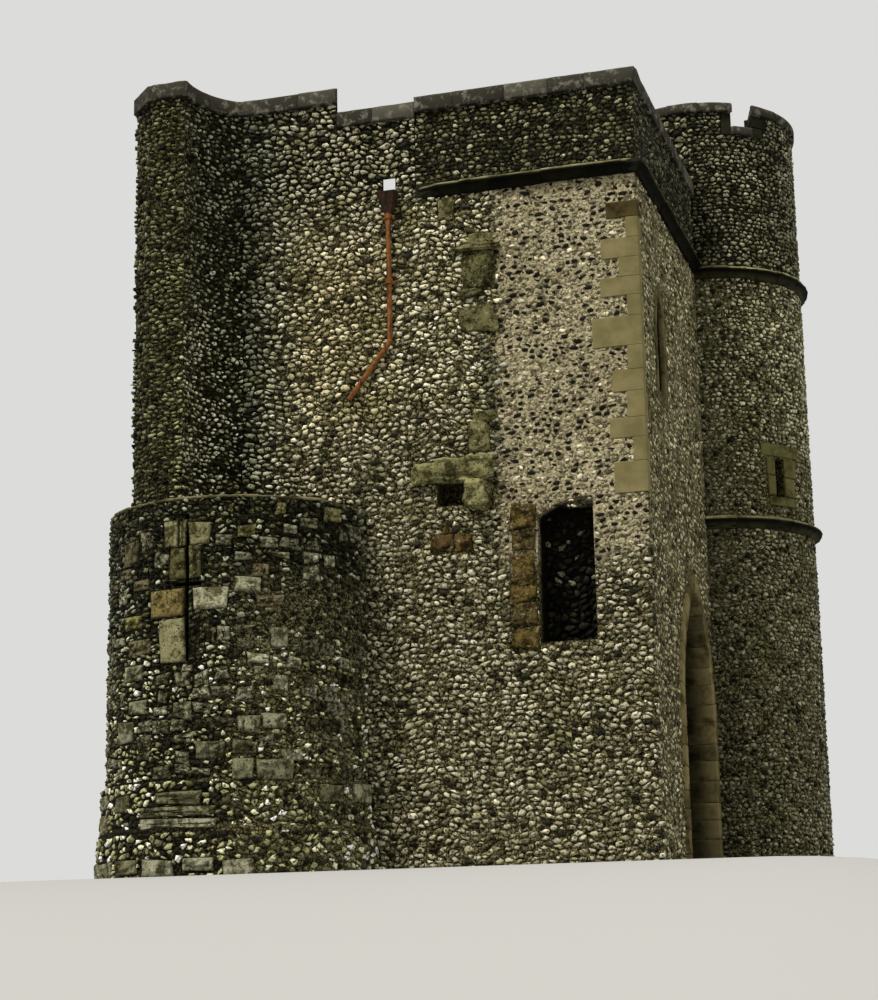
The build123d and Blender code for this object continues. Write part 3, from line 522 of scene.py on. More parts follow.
def rear_shade(s, z):
    """Darker under the string and by the turret."""
    level = 1.08 + 0.10 * patchy(s, z, 8)
    level *= 1 - 0.35 * fade(s, rear_end - 0.9, rear_end) - 0.2 * fade(z, 10.0, 10.6)
    return level[:, None]


flint_field(
    "inner_face_flints", block_line, (corner, rear_end), (0.0, string_base), (0.140, 0.088), rear_flints, 13,
    blocks=quoins + rear_gate + lancet_blocks(rear_lancet), shade=rear_shade, joint=0.022, proud=(0.003, 0.013),
    sides=5, coursed=0.5,
)

parapet_flints = {"#6f6b50": 0.34, "#9d987c": 0.16, "#4a4731": 0.26, "#1d1c10": 0.24}
flint_field(
    "upper_parapet_flints", block_line, (low_x, rear_end), (string_top, block_top), (0.100, 0.072), parapet_flints,
    14, joint=0.016, proud=(0.006, 0.022), coursed=0.6,
    shade=lambda s, z: (1 - 0.35 * fade(s, rear_x - 0.05, rear_x + 0.05))[:, None] * np.array((0.95, 1.0, 1.0)),
)


# Flint facing of the far flank and the outer face
# The two sides that face away repeat the same facing in plain coarse work.
def mirrored(points):
    """The same wall line on the far side, walked the other way so that the air stays on the right."""
    return [(x, -y) for x, y in reversed(points)]


turret_meets_flank = turret_x - turret_radius
far_line = wall_line([(turret_meets_flank, -flank_y), (cove_x, -flank_y)], start=-turret_meets_flank)
far_blocks = [
    (-drum_meets_flank, -cove_x + 1, -1, drum_top),
    (-turret_meets_flank - 1, -cove_x + 1, string_base, string_top),
    (-low_x, -merlon_x, low_top, wall_top + 1),
    (-turret_meets_flank - 1, -low_x, block_top, wall_top + 1),
]
flint_field(
    "far_flank_flints", far_line, (-turret_meets_flank, -cove_x), (0.0, wall_top), (0.150, 0.112), old_flints, 21,
    blocks=far_blocks, shade=lambda s, z: (0.85 + 0.1 * patchy(s, z, 3))[:, None], sides=5,
)

# Distances along this line equal -Y.
pier_return = -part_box("near_pier")[1].y
front_line = wall_line([(front_x, pier_return), (front_x, -pier_return)], start=-pier_return)
drum_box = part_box("near_drum_wall")
drum_radius = flank_y - drum_box[0].y
drum_x = drum_meets_flank - drum_radius
drum_meets_front = -flank_y - math.sqrt(drum_radius**2 - (front_x - drum_x) ** 2)
front_blocks = arch_blocks(0.0, gate_ring[1], gate_spring, gate_ring[2])
for y in (-lancet_y[1], lancet_y[1]):
    front_blocks += lancet_blocks(y)
front_blocks += [(drum_meets_front, 9, -1, drum_top), (-9, -drum_meets_front, -1, drum_top)]
flint_field(
    "outer_face_flints", front_line, (-pier_return, pier_return), (0.0, low_top), (0.150, 0.112), old_flints, 22,
    blocks=front_blocks, shade=lambda s, z: (0.8 + 0.1 * patchy(s, z, 4))[:, None], sides=5,
)


# Drums
# Low round towers of coarse rubble: flints, broken slabs and reused squared blocks of grey and tan stone, damp
# and green-brown, over a plinth of bigger stones. Each has a cross-shaped slit edged with dressed stone.
def arc_line(centre, radius, first, last, start=None):
    """Wall line round part of a circle; distances along it equal radius times angle unless start is given."""
    angle = np.radians(np.linspace(first, last, 2 + int(abs(last - first) / 2)))
    points = np.stack((centre[0] + radius * np.cos(angle), centre[1] + radius * np.sin(angle)), axis=1)
    return wall_line(points, start=radius * math.radians(first) if start is None else start)


def squared_stones(name, chart, rows, shares, seed, proud=0.03, edge=0.016, arris=None, wear=0.003, uneven=0.0,
                   finish=None):
    """Squared stones over rectangles of a wall, one mesh.

    Each stone is a grid over its rectangle. It stands out by proud times a quarter circle of the distance to its
    nearest side, measured in edge widths, less a little random wear. Uneven moves its corners by about that much.
    """
    rng = np.random.default_rng(seed)
    rows = np.asarray(rows, float)
    count = len(rows)

    def grid_lines(low, high, middle):
        inset = np.array([0.0, 0.35, 1.0, 2.6]) * edge
        inset = inset[None] * np.minimum(1, (high - low) / (6 * edge))[:, None]
        return np.hstack((low[:, None] + inset, middle, high[:, None] - inset[:, ::-1]))

    def between(low, high, shares_along):
        return low[:, None] + (high - low)[:, None] * np.array(shares_along)

    middle_s = between(rows[:, 0], rows[:, 1], (0.36, 0.66))
    if arris is not None:
        turns = (rows[:, 0] < arris) & (rows[:, 1] > arris)
        middle_s = np.where(turns[:, None], arris + np.array([-0.01, 0.01]), middle_s)
    s = grid_lines(rows[:, 0], rows[:, 1], middle_s)
    z = grid_lines(rows[:, 2], rows[:, 3], between(rows[:, 2], rows[:, 3], (0.34, 0.64)))
    size = s.shape[1]
    s, z = s[:, None, :] + np.zeros((1, size, 1)), z[:, :, None] + np.zeros((1, 1, size))
    near_s = np.minimum(s - s[:, :, :1], s[:, :, -1:] - s)
    near_z = np.minimum(z - z[:, :1, :], z[:, -1:, :] - z)
    depth = np.clip(np.minimum(near_s, near_z) / edge, 0, 1)
    stand = proud * rng.uniform(0.75, 1.1, (count, 1, 1))
    worn = wear * rng.normal(0, 1, s.shape)
    out = stand * np.sqrt(1 - (1 - depth) ** 2) + worn * depth - 0.01 * (depth == 0)
    across = (s - s[:, :, :1]) / (s[:, :, -1:] - s[:, :, :1])
    upward = (z - z[:, :1, :]) / (z[:, -1:, :] - z[:, :1, :])
    moves = rng.normal(0, uneven, (2, 2, 2, count, 1, 1))
    lower, upper = moves[:, 0] + (moves[:, 1] - moves[:, 0]) * across
    shift_s, shift_z = lower + (upper - lower) * upward
    places = chart(s + shift_s, z + shift_z, out).reshape(-1, 3)
    faces = copies(grid_faces(size, size), size * size, count)
    own = drawn_colours(rng, shares, count, 0.06)
    # Each stone is darker towards its edges, where it turns into the joint.
    edge_darkening = 0.45 + 0.55 * np.clip(depth * 1.6, 0, 1) + 0.04 * rng.normal(0, 1, depth.shape)
    tints = (own[:, None, None, :] * np.clip(edge_darkening, 0.2, 1.3)[..., None]).reshape(-1, 3)
    return mesh_piece(name, places, faces, tints, finish or dressed_sandstone)


# Fine sandstone and clunch, cut square and weathered: sand grain, faint bedding 40 mm apart, lichen spots.
dressed_sandstone, add, place = new_finish("dressed_sandstone", 0.88, 0.06)
tint = add("Attribute", output="Color", attribute_name="tint")
grain = add("TexNoise", {"Vector": place, "Scale": 130.0, "Detail": 3.0})
stain = add("TexNoise", {"Vector": place, "Scale": 3.2, "Detail": 6.0, "Roughness": 0.62})
beds = add("Mapping", {"Vector": place, "Scale": (2.0, 2.0, 24.0)})
beds = add("TexNoise", {"Vector": beds, "Scale": 1.0, "Detail": 2.0})
beds = add("Mix", {0: beds, 6: "#4c4733", 7: "#bdb595"}, 2, data_type="RGBA")
colour = laid(add, tint, "#938c70", (stain, 0.42, 0.68), way="MULTIPLY")
colour = add("Mix", {0: 0.35, 6: colour, 7: beds}, 2, data_type="RGBA", blend_type="OVERLAY")
height = add("Math", {0: stain, 1: 2.0, 2: grain}, operation="MULTIPLY_ADD")
surface(dressed_sandstone, {"Base Color": colour}, height, 0.45, 0.005)


def stone_run(name, chart, joints, section, shares, seed, gap=0.008, wear=0.004, cuts=5, lights=None, scale=None,
              finish=None):
    """A row of cut stones: a closed section carried along a line and cut at the joints, one mesh.

    section lists (height, out) round the stone. Each stone is drawn in at its ends and shifted a little, its skin
    worn at random, and its two end faces are fans round the middle of the section.
    """
    rng = np.random.default_rng(seed)
    section = np.asarray(section, float)
    joints = np.asarray(joints, float)
    count, points = len(joints) - 1, len(section)
    middle = section.mean(axis=0)
    inset = np.concatenate(([0.0, 0.012], np.linspace(0, 1, cuts)[1:-1], [-0.012, 0.0]))
    low, high = joints[:-1, None] + gap / 2, joints[1:, None] - gap / 2
    cut = np.arange(cuts + 2)
    s = np.where(cut < 2, low + inset, np.where(cut >= cuts, high + inset, low + (high - low) * inset))
    shrink = np.ones(cuts + 2)
    shrink[[0, -1]] = 0.95
    body = middle + (section - middle)[None, None] * shrink[None, :, None, None]
    body = body + rng.normal(0, wear * 0.8, (count, 1, 1, 2)) + rng.normal(0, wear * 0.6, (count, cuts + 2, points, 2))
    if scale is not None:
        body[..., 1] = body[..., 1] * scale(s)[..., None]
    s = s[..., None] + np.zeros((1, 1, points))
    ring = chart(s, body[..., 0], body[..., 1])
    ends = np.stack((ring[:, 0].mean(axis=1), ring[:, -1].mean(axis=1)), axis=1)
    places = np.concatenate((ring.reshape(count, -1, 3), ends), axis=1)
    k = np.arange(points)
    last = (cuts + 1) * points
    start_cap = np.stack((np.full(points, last + points), (k + 1) % points, k), axis=1)
    end_cap = np.stack((np.full(points, last + points + 1), last + k, last + (k + 1) % points), axis=1)
    pattern = np.concatenate((grid_faces(cuts + 2, points, closed=True), start_cap, end_cap))
    corners = places[0][pattern]
    if np.einsum("ij,ij->i", corners[:, 0], np.cross(corners[:, 1], corners[:, 2])).sum() < 0:
        pattern = pattern[:, ::-1]
    faces = copies(pattern, last + points + 2, count)
    own = drawn_colours(rng, shares, count, 0.07)
    # Lights are painted light and shade on each point of the section; the middles of the end faces are painted at
    # half.
    light = np.ones(points) if lights is None else np.asarray(lights, float)
    light = np.concatenate((np.tile(light, cuts + 2), [0.5, 0.5]))
    tints = (own[:, None] * light[None, :, None]).reshape(-1, 3)
    return mesh_piece(name, places.reshape(-1, 3), faces, tints, finish or dressed_sandstone)


def even_joints(start, end, size, seed, spread=0.12):
    """Joints about one size apart from start to end, each moved a little."""
    count = max(1, round((end - start) / size))
    joints = np.linspace(start, end, count + 1)
    joints[1:-1] += np.random.default_rng(seed).uniform(-spread, spread, count - 1) * (end - start) / count
    return joints


def above(chart, level):
    """The same chart with heights counted from a level."""
    return lambda s, z, out: chart(s, level + z, out)


def scattered_blocks(span, levels, cell, share, seed, sizes=((0.5, 0.85), (0.5, 0.85))):
    """Reused squared blocks, at most one to a cell of the wall, so that none overlap."""
    rng = np.random.default_rng(seed)
    rows = []
    for s0 in np.arange(span[0], span[1] - cell[0], cell[0]):
        for z0 in np.arange(levels[0], levels[1] - cell[1], cell[1]):
            wide, tall = cell[0] * rng.uniform(*sizes[0]), cell[1] * rng.uniform(*sizes[1])
            left, low = s0 + rng.uniform(0, cell[0] - wide), z0 + rng.uniform(0, cell[1] - tall)
            if rng.uniform() < share:
                rows.append((left, left + wide, low, low + tall))
    return rows


def drum_shade(s, z):
    """Green-black damp towards the rim, warmer and lighter low down."""
    level = 0.56 + 0.18 * patchy(s, z, 17) + 1.25 * fade(z, 4.1, 2.4)
    return level[:, None] * np.stack((0.94 + 0.04 * fade(z, 4, 2), np.ones(s.shape), 0.93 + 0 * s), axis=1)


# Reused squared blocks: the same stones after centuries in a damp wall, mottled with soot, pits and grey lichen.
mottled_ashlar, add, place = new_finish("mottled_ashlar", 0.92, 0.05)
tint = add("Attribute", output="Color", attribute_name="tint")
darkening = add("TexNoise", {"Vector": place, "Scale": 5.5, "Detail": 7.0, "Roughness": 0.7})
pits = add("TexNoise", {"Vector": place, "Scale": 34.0, "Detail": 4.0})
lichen = add("TexNoise", {"Vector": place, "Scale": 15.0, "Detail": 6.0, "Roughness": 0.7})
colour = laid(add, tint, "#7d7b62", (darkening, 0.58, 0.40), way="MULTIPLY")
colour = laid(add, colour, "#6a6850", (pits, 0.44, 0.34), way="MULTIPLY")
colour = laid(add, colour, "#a7a68a", (lichen, 0.56, 0.66), share=0.45)
height = add("Math", {0: darkening, 1: 3.0, 2: pits}, operation="MULTIPLY_ADD")
surface(mottled_ashlar, {"Base Color": colour}, height, 0.7, 0.010)

plinth_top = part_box("near_drum_plinth")[1].z
slit_x = -3.105
slit_angle = math.degrees(math.acos((slit_x - drum_x) / drum_radius))
front_angle = math.degrees(math.acos((front_x - drum_x) / drum_radius))
drum_flints = {"#7d7b5e": 0.25, "#b1b097": 0.18, "#dddccb": 0.08, "#5b5942": 0.21, "#343325": 0.14, "#131209": 0.14}

# Places on the drum are distances to the right of the slit's centre line, and heights.
slit_stones_tan = [
    (-0.395, -0.135, 4.87, 5.26),
    (-0.12, -0.022, 4.875, 5.25),
    (0.05, 0.36, 4.87, 5.21),
    (-0.42, -0.03, 3.10, 3.78),
]
slit_stones_olive = [(-0.29, -0.03, 4.37, 4.85), (0.03, 0.22, 4.37, 4.85)]
slit_stones_ochre = [(-0.62, -0.03, 3.82, 4.22)]
reused_yellow = [
    (0.77, 1.03, 4.99, 5.16),
    (0.62, 0.71, 5.34, 5.47),
    (1.32, 1.50, 5.32, 5.49),
    (2.15, 2.48, 5.31, 5.52),
    (-1.24, -0.82, 3.70, 3.91),
]
reused_pale = [
    (0.09, 0.62, 3.90, 4.22),
    (0.72, 1.11, 4.15, 4.38),
    (1.27, 1.54, 4.65, 4.75),
    (0.89, 1.22, 3.08, 3.23),
    (0.98, 1.17, 2.93, 3.05),
    (1.27, 1.54, 2.68, 2.92),
    (-0.09, 0.10, 2.98, 3.09),
    (-1.22, -0.79, 2.92, 3.16),
]
reused_grey = [
    (1.08, 1.38, 4.80, 4.97),
    (0.71, 0.97, 4.61, 4.76),
    (1.44, 1.67, 5.02, 5.19),
    (1.71, 2.01, 5.14, 5.28),
    (2.69, 3.05, 5.13, 5.33),
    (-0.87, -0.63, 5.03, 5.16),
    (-1.12, -0.65, 2.41, 2.64),
    (-1.42, -1.00, 2.00, 2.34),
    (0.47, 0.66, 3.42, 3.63),
    (1.24, 1.53, 3.32, 3.63),
    (0.75, 1.10, 2.07, 2.32),
    (1.12, 1.50, 2.13, 2.37),
    (0.15, 0.59, 1.70, 1.94),
]
reused_brown = [
    (0.99, 1.27, 4.40, 4.58),
    (-1.30, -0.92, 4.72, 5.04),
    (-1.47, -1.11, 4.50, 4.68),
    (-1.03, -0.70, 4.26, 4.46),
    (0.29, 0.46, 3.40, 3.62),
    (1.03, 1.46, 3.91, 4.10),
    (-1.14, -0.63, 3.31, 3.53),
    (0.69, 1.06, 1.74, 1.97),
]
reused = reused_yellow + reused_pale + reused_grey + reused_brown
slit_stones = slit_stones_tan + slit_stones_olive + slit_stones_ochre
slit_room = [(-0.03, 0.03, 3.15, 5.35), (-0.27, 0.18, 4.25, 4.34), (0.03, 0.20, 3.20, 3.62)]
low_slabs = [
    (0.69, 1.01, 1.40, 1.69),
    (1.03, 1.57, 1.40, 1.69),
    (-0.44, 0.26, 1.05, 1.25),
    (-0.73, 0.46, 0.90, 1.03),
    (-0.73, 0.47, 0.70, 0.87),
    (-1.35, -1.00, 1.00, 1.25),
]


def dress_drum(side, sign):
    """Facing of one drum; sign is -1 for the near drum and 1 for the far one, which is its mirror image."""
    centre = (drum_x, sign * -flank_y)
    first, last = (front_angle, 360.0) if sign < 0 else (0.0, 360.0 - front_angle)
    slit = drum_radius * math.radians(360 - slit_angle if sign < 0 else slit_angle)
    line = arc_line(centre, drum_radius, first, last)
    span = (drum_radius * math.radians(first), drum_radius * math.radians(last))

    def at(rows):
        """Rows round the drum from rows that count from the slit, turned about on the far drum."""
        ends = [(slit - sign * a, slit - sign * b, low, high) for a, b, low, high in rows]
        return [(min(a, b), max(a, b), low, high) for a, b, low, high in ends]

    groups = (
        ("tan", slit_stones_tan, {"#7f7b56": 1, "#757150": 1, "#868260": 0.5}, 0.036),
        ("olive", slit_stones_olive, {"#5b5838": 1, "#656241": 1}, 0.032),
        ("ochre", slit_stones_ochre, {"#766940": 1}, 0.044),
        ("yellow", reused_yellow, {"#7d7749": 1, "#858056": 1}, 0.030),
        ("pale", reused_pale, {"#97967c": 1, "#a8a78d": 1, "#85846b": 1}, 0.034),
        ("grey", reused_grey, {"#7d7d67": 1, "#8d8c75": 1, "#67664f": 0.6}, 0.030),
        ("brown", reused_brown, {"#605b43": 1, "#696249": 1, "#5a5842": 0.6}, 0.030),
    )
    for number, (tone, rows, shares, proud) in enumerate(groups):
        squared_stones(f"{side}_drum_{tone}_stones", line, at(rows), shares, 31 + number, proud, 0.034, wear=0.010,
                       uneven=0.016, finish=mottled_ashlar)
    fixed = np.array(at(reused + slit_stones + slit_room))
    rubble = []
    for levels, share in (((plinth_top, 3.9), 0.62), ((3.9, drum_top), 0.22)):
        for row in scattered_blocks(span, levels, (0.33, 0.225), share, 48, ((0.62, 0.96), (0.6, 0.92))):
            apart = (fixed[:, 1] < row[0]) | (fixed[:, 0] > row[1]) | (fixed[:, 3] < row[2]) | (fixed[:, 2] > row[3])
            if apart.all():
                rubble.append(row)
    squared_stones(f"{side}_drum_rubble", line, rubble, {"#8b8a72": 1, "#a2a189": 0.9, "#716f58": 1, "#4d4b37": 0.5},
                   49, 0.040, 0.06, wear=0.016, uneven=0.030, finish=mottled_ashlar)
    flint_field(
        f"{side}_drum_flints", line, span, (plinth_top, drum_top), (0.112, 0.078) if sign < 0 else (0.140, 0.110),
        drum_flints, 38 + sign, blocks=at(reused + slit_stones + slit_room) + rubble,
        shade=drum_shade, proud=(0.008, 0.052), sides=5, joint=0.020, fill=1.15,
    )
    for step, (reach, low, high) in enumerate(((0.14, 0.0, 0.66), (0.07, 0.68, 1.40))):
        angle = math.acos((front_x - drum_x) / (drum_radius + reach))
        ends = (math.degrees(angle), 360.0) if sign < 0 else (0.0, 360.0 - math.degrees(angle))
        foot_line = arc_line(centre, drum_radius + reach, *ends)
        foot_span = tuple((drum_radius + reach) * math.radians(end) for end in ends)
        slabs = scattered_blocks(
            foot_span, (low, high), (0.62, (high - low) / 2), 0.6, 40 + step, ((0.7, 0.95), (0.6, 0.92))
        )
        if step:
            grown = 1 + reach / drum_radius
            fixed = [(a * grown, b * grown, bottom, top) for a, b, bottom, top in at(low_slabs)]
            free = (min(row[0] for row in fixed), max(row[1] for row in fixed))
            slabs = [row for row in slabs if row[1] < free[0] or row[0] > free[1]] + fixed
        squared_stones(f"{side}_plinth_slabs_{step}", foot_line, slabs, {"#7b7960": 1, "#6c6a50": 1, "#8d8c76": 0.8},
                       42 + step, 0.045, 0.03, wear=0.012, uneven=0.015, finish=mottled_ashlar)
        flint_field(
            f"{side}_plinth_flints_{step}", foot_line, foot_span, (low, high), (0.120, 0.092), drum_flints, 44 + step,
            blocks=slabs, shade=drum_shade, proud=(0.010, 0.040), sides=5,
        )
    rim = [(-0.030, -0.02), (-0.030, 0.030), (-0.004, 0.036), (0.008, 0.010), (0.008, -0.09)]
    stone_run(
        f"{side}_drum_rim_mortar", above(line, drum_top), even_joints(*span, 0.5, 46), rim, {"#7e7a60": 1, "#6c6850": 1},
        46, gap=0.0, wear=0.008, cuts=8,
    )


dress_drum("near", -1)
dress_drum("far", 1)


# Piers above the drums
# Rubble masses that carry the parapet out to the outer corners, with a splayed outer arris and a concave side
# towards the flank. The mortar is smeared well over the flints and stained olive green.
def arc_points(first, last, sagitta, count=14):
    """Points of a circular arc between two places in plan, bulging by the sagitta to the left of the chord."""
    first, last = np.array(first), np.array(last)
    chord = last - first
    length = np.hypot(*chord)
    left = np.array((-chord[1], chord[0])) / length
    radius = (length**2 / 4 + sagitta**2) / (2 * sagitta)
    centre = (first + last) / 2 + left * (sagitta - radius)
    a, b = first - centre, last - centre
    turn = np.arctan2(a[0] * b[1] - a[1] * b[0], a @ b)
    angle = np.arctan2(a[1], a[0]) + turn * np.linspace(0, 1, count)
    return [tuple(centre + radius * np.array((np.cos(t), np.sin(t)))) for t in angle]


pier_low, pier_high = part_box("near_pier")
pier_chamfer, pier_face = 0.45, 0.57
pier_points = [(front_x, -pier_return), (pier_low.x, -pier_return), (pier_low.x, pier_low.y + pier_chamfer)]
pier_points += [(pier_low.x + pier_chamfer, pier_low.y)]
cove_start = (pier_low.x + pier_chamfer + pier_face, pier_low.y)
pier_points += arc_points(cove_start, (cove_x, flank_y), 0.172)
pier_steps = np.hypot(*np.diff(np.array(pier_points), axis=0).T)
pier_length, splay_end, arris = pier_steps.sum(), pier_steps[:3].sum(), pier_steps[:4].sum()


def pier_shade(s, z):
    """Olive on the outer faces, a little lighter low in the cove, with a painted highlight across the face towards its
    arris.
    """
    in_cove = fade(s, pier_length - 1.6, pier_length - 0.9)
    level = 0.62 + 0.14 * patchy(s, z, 9) + in_cove * (0.16 + 1.0 * fade(z, 10.4, 7.4))
    # Painted highlight: the face lightens towards the arris and drops at it.
    level *= 1 + 0.25 * fade(s, splay_end - 0.1, arris - 0.2) * fade(s, arris + 0.03, arris - 0.02)
    olive = fade(s, arris + 0.1, arris - 0.1)
    return level[:, None] * np.stack((0.95 + 0 * s, 1 + 0 * s, 0.96 - 0.12 * olive), axis=1)


# The splayed arris is ragged flint, the face beside it is mostly smeared mortar, the cove is small chips in soot.
pier_flints = {"#8c896c": 0.26, "#aeab8c": 0.10, "#6f6c4e": 0.28, "#444228": 0.20, "#17160c": 0.16}
smeared_flints = {"#8f8c6f": 0.30, "#a3a081": 0.15, "#7a775a": 0.33, "#55523a": 0.15, "#1b190f": 0.07}
cove_flints = {"#a3a18a": 0.34, "#c6c4af": 0.14, "#7b7962": 0.26, "#45432f": 0.16, "#17160d": 0.10}
pier_stretches = (
    ("arris", (0.0, splay_end), pier_flints, (0.108, 0.080), (0.014, 0.070), 1.1, 0.85),
    ("face", (splay_end, arris), smeared_flints, (0.118, 0.070), (0.010, 0.058), 1.0, 0.55),
    ("cove", (arris, pier_length), cove_flints, (0.098, 0.076), (0.010, 0.046), 0.92, 0.85),
)
near_pier_line = wall_line(pier_points)
far_pier_line = wall_line(mirrored(pier_points))
for side, line, seed, coarse in (("near", near_pier_line, 51, 1.0), ("far", far_pier_line, 52, 1.35)):
    for part, span, shares, spacing, proud, fill, darkening in pier_stretches:
        flint_field(
            f"{side}_pier_{part}_flints", line, span, (drum_top, wall_top), (coarse * spacing[0], coarse * spacing[1]),
            shares, seed, shade=pier_shade, proud=proud, sides=6 if side == "near" else 5, fill=fill, joint=0.018,
            coursed=0.4, darkening=darkening,
        )


# Stair turret
# A round shell in four lifts between its strings. The facing is small flints in clear courses, greyer low down,
# with bands of dark knapped flints, and its parapet has square crenels.
turret_centre = (turret_x, turret_y)
rear_angle = -math.acos((rear_x - turret_x) / turret_radius)
turret_line = arc_line(turret_centre, turret_radius, math.degrees(rear_angle), 180)
turret_span = (turret_radius * rear_angle, turret_radius * math.pi)
string_height = 0.23
strings_low, strings_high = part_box("turret_strings")
lower_string = (strings_low.z, strings_low.z + string_height)
upper_string = (strings_high.z - string_height, strings_high.z)
merlon_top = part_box("turret_parapet")[1].z
crenel_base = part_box("turret_coping")[0].z
parapet_thick = 0.45
crenel_half, jamb_widening = 0.20, 0.235
crenel_reach = turret_radius * math.asin(crenel_half / turret_radius)
crenel_angles = [math.radians(-53.2 + 90 * k) for k in range(4)]
crenels, crenel_quoins = [], []
for angle in crenel_angles:
    left, right = turret_radius * angle - crenel_reach, turret_radius * angle + crenel_reach
    crenels.append((left, right, crenel_base, merlon_top + 0.3))
    crenel_quoins += [
        (left - 0.20, left - 0.004, crenel_base, merlon_top - 0.01),
        (right + 0.004, right + 0.36, crenel_base + 0.20, merlon_top - 0.01),
        (right + 0.004, right + 0.24, crenel_base, crenel_base + 0.19),
    ]
slit_s = turret_radius * math.radians(-40)
turret_slit_room = (slit_s - 0.30, slit_s + 0.35, 6.44, 7.56)


def turret_shade(s, z):
    """Light in the middle lift, dark where the turret meets the block and under the strings."""
    level = 1.02 + 0.14 * patchy(s, z, 23)
    level *= 1 - 0.40 * fade(s, turret_span[0] + 0.9, turret_span[0] + 0.1)
    level *= 1 - 0.28 * fade(z, 10.7, 11.0) + 0.34 * fade(z, 7.2, 8.2) * fade(z, 10.6, 9.8)
    level *= 1 - 0.25 * fade(z, 6.8, 6.2)
    return level[:, None] * np.array((0.97, 1.0, 0.92))


turret_flints = {"#aca88f": 0.37, "#c6c2aa": 0.12, "#8e8a71": 0.29, "#5e5b43": 0.14, "#1f1e14": 0.08}
lifts = ((0.0, lower_string[0]), (lower_string[1], upper_string[0]), (upper_string[1], merlon_top))
seen_end = 0.45
for number, levels in enumerate(lifts):
    for stretch, span, spacing, sides in (
        ("", (turret_span[0], seen_end), (0.100, 0.076), 6),
        ("_back", (seen_end, turret_span[1]), (0.145, 0.112), 5),
    ):
        flint_field(
            f"turret_flints_{number + 1}{stretch}", turret_line, span, levels, spacing, turret_flints, 61 + number,
            blocks=crenels + crenel_quoins + [turret_slit_room], shade=turret_shade, proud=(0.008, 0.032), sides=sides,
            joint=0.016, coursed=0.75,
        )

deck_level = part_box("roof_deck")[1].z
roof_side_end = 273.6
inner_span = (turret_radius * math.pi, turret_radius * math.radians(roof_side_end))
roof_side_line = arc_line(turret_centre, turret_radius, 180, roof_side_end)
flint_field(
    "turret_roof_side_flints", roof_side_line, inner_span, (deck_level, merlon_top), (0.140, 0.105), turret_flints, 65,
    blocks=crenels + crenel_quoins, shade=turret_shade, sides=5,
)
# The crenel quoins are near black: black-stained stone, with painted shade of the jambs in their colour too.
squared_stones("crenel_quoins", arc_line(turret_centre, turret_radius, -90, 290), crenel_quoins,
               {"#1f2017": 1, "#26261b": 1}, 68, 0.022, 0.012, wear=0.004, uneven=0.006)

parapet_bore = turret_radius - parapet_thick
turret_deck_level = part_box("turret_deck")[1].z
turret_inside = arc_line(turret_centre, parapet_bore, 360, 0, start=-parapet_bore * 2 * math.pi)
bore_reach = parapet_bore * math.asin((crenel_half + jamb_widening) / parapet_bore)
inside_angles = [-parapet_bore * (a % (2 * math.pi)) for a in crenel_angles]
flint_field(
    "turret_parapet_inside_flints", turret_inside, (-parapet_bore * 2 * math.pi, 0.0), (turret_deck_level, merlon_top),
    (0.140, 0.110), turret_flints, 66, sides=5,
    blocks=[(s - bore_reach, s + bore_reach, crenel_base, merlon_top + 1) for s in inside_angles],
)

# The slit's stones: a long lintel, a splayed right jamb, a plain left jamb and a sill.
turret_slit_stones = [
    (slit_s - 0.385, slit_s + 0.505, 7.335, 7.565),
    (slit_s - 0.285, slit_s - 0.10, 7.00, 7.325),
    (slit_s - 0.27, slit_s - 0.10, 6.63, 6.99),
    (slit_s + 0.09, slit_s + 0.42, 6.98, 7.325),
    (slit_s + 0.09, slit_s + 0.36, 6.63, 6.97),
    (slit_s - 0.26, slit_s + 0.34, 6.45, 6.62),
]
squared_stones("turret_slit_stones", turret_line, turret_slit_stones, {"#5e5c3c": 1, "#666441": 1}, 67, proud=0.046,
               wear=0.003)


# Parapets seen from the roof
# The same rubble, on the faces that look on to the roof deck.
inner_y = flank_y + parapet_thick
inner_front, inner_rear = front_x + parapet_thick, rear_x - parapet_thick
turret_meets_inner = turret_y - math.sqrt(turret_radius**2 - (inner_rear - turret_x) ** 2)
turret_meets_far = turret_x - math.sqrt(turret_radius**2 - (-inner_y - turret_y) ** 2)
roof_points = [(inner_rear, turret_meets_inner), (inner_rear, inner_y), (inner_front, inner_y)]
roof_points += [(inner_front, -inner_y), (turret_meets_far, -inner_y)]
roof_line = wall_line(roof_points)
roof_length = np.hypot(*np.diff(np.array(roof_points), axis=0).T).sum()
inner_corner = turret_meets_inner - inner_y + inner_rear
drain_mouth = (inner_corner + 0.285, inner_corner + 0.775, 10.77, 11.24)
flint_field(
    "roof_side_flints", roof_line, (0.0, roof_length), (deck_level, low_top), (0.150, 0.112), parapet_flints, 71,
    blocks=[drain_mouth], sides=5,
)


# Quoins and the scars of the near flank
# Smooth olive sandstone blocks, long and short, bond the corner above the old lower work. Left of it are the
# stubs of a broken building: eroded lintel and corbel, slabs, a worn ochre jamb and two red sandstone blocks.
def plain_finish(name, colour_low, colour_high, scale, roughness, depth):
    """Plain weathered surface for CAD pieces: two tones mixed by noise of one scale, with bump to match."""
    finish, add, place = new_finish(name, roughness, 0.08)
    noise = add("TexNoise", {"Vector": place, "Scale": scale, "Detail": 7.0, "Roughness": 0.65})
    colour = laid(add, colour_low, colour_high, (noise, 0.35, 0.68))
    surface(finish, {"Base Color": colour}, noise, 0.6, depth)
    return finish


# Fine-grained sandstone, sawn square, so it shows only broad damp stains and almost no relief.
quoin_stone = plain_finish("quoin_sandstone", "#67613f", "#7c7350", 2.6, 0.9, 0.003)
squared_stones("corner_quoins", block_line, quoins[1:], {"#706a48": 1}, 81, 0.018, 0.005, arris=rear_x, wear=0.0006,
               finish=quoin_stone)
squared_stones("brown_quoin", block_line, quoins[:1], {"#4d4429": 1}, 82, 0.018, 0.006, arris=rear_x, wear=0.001)


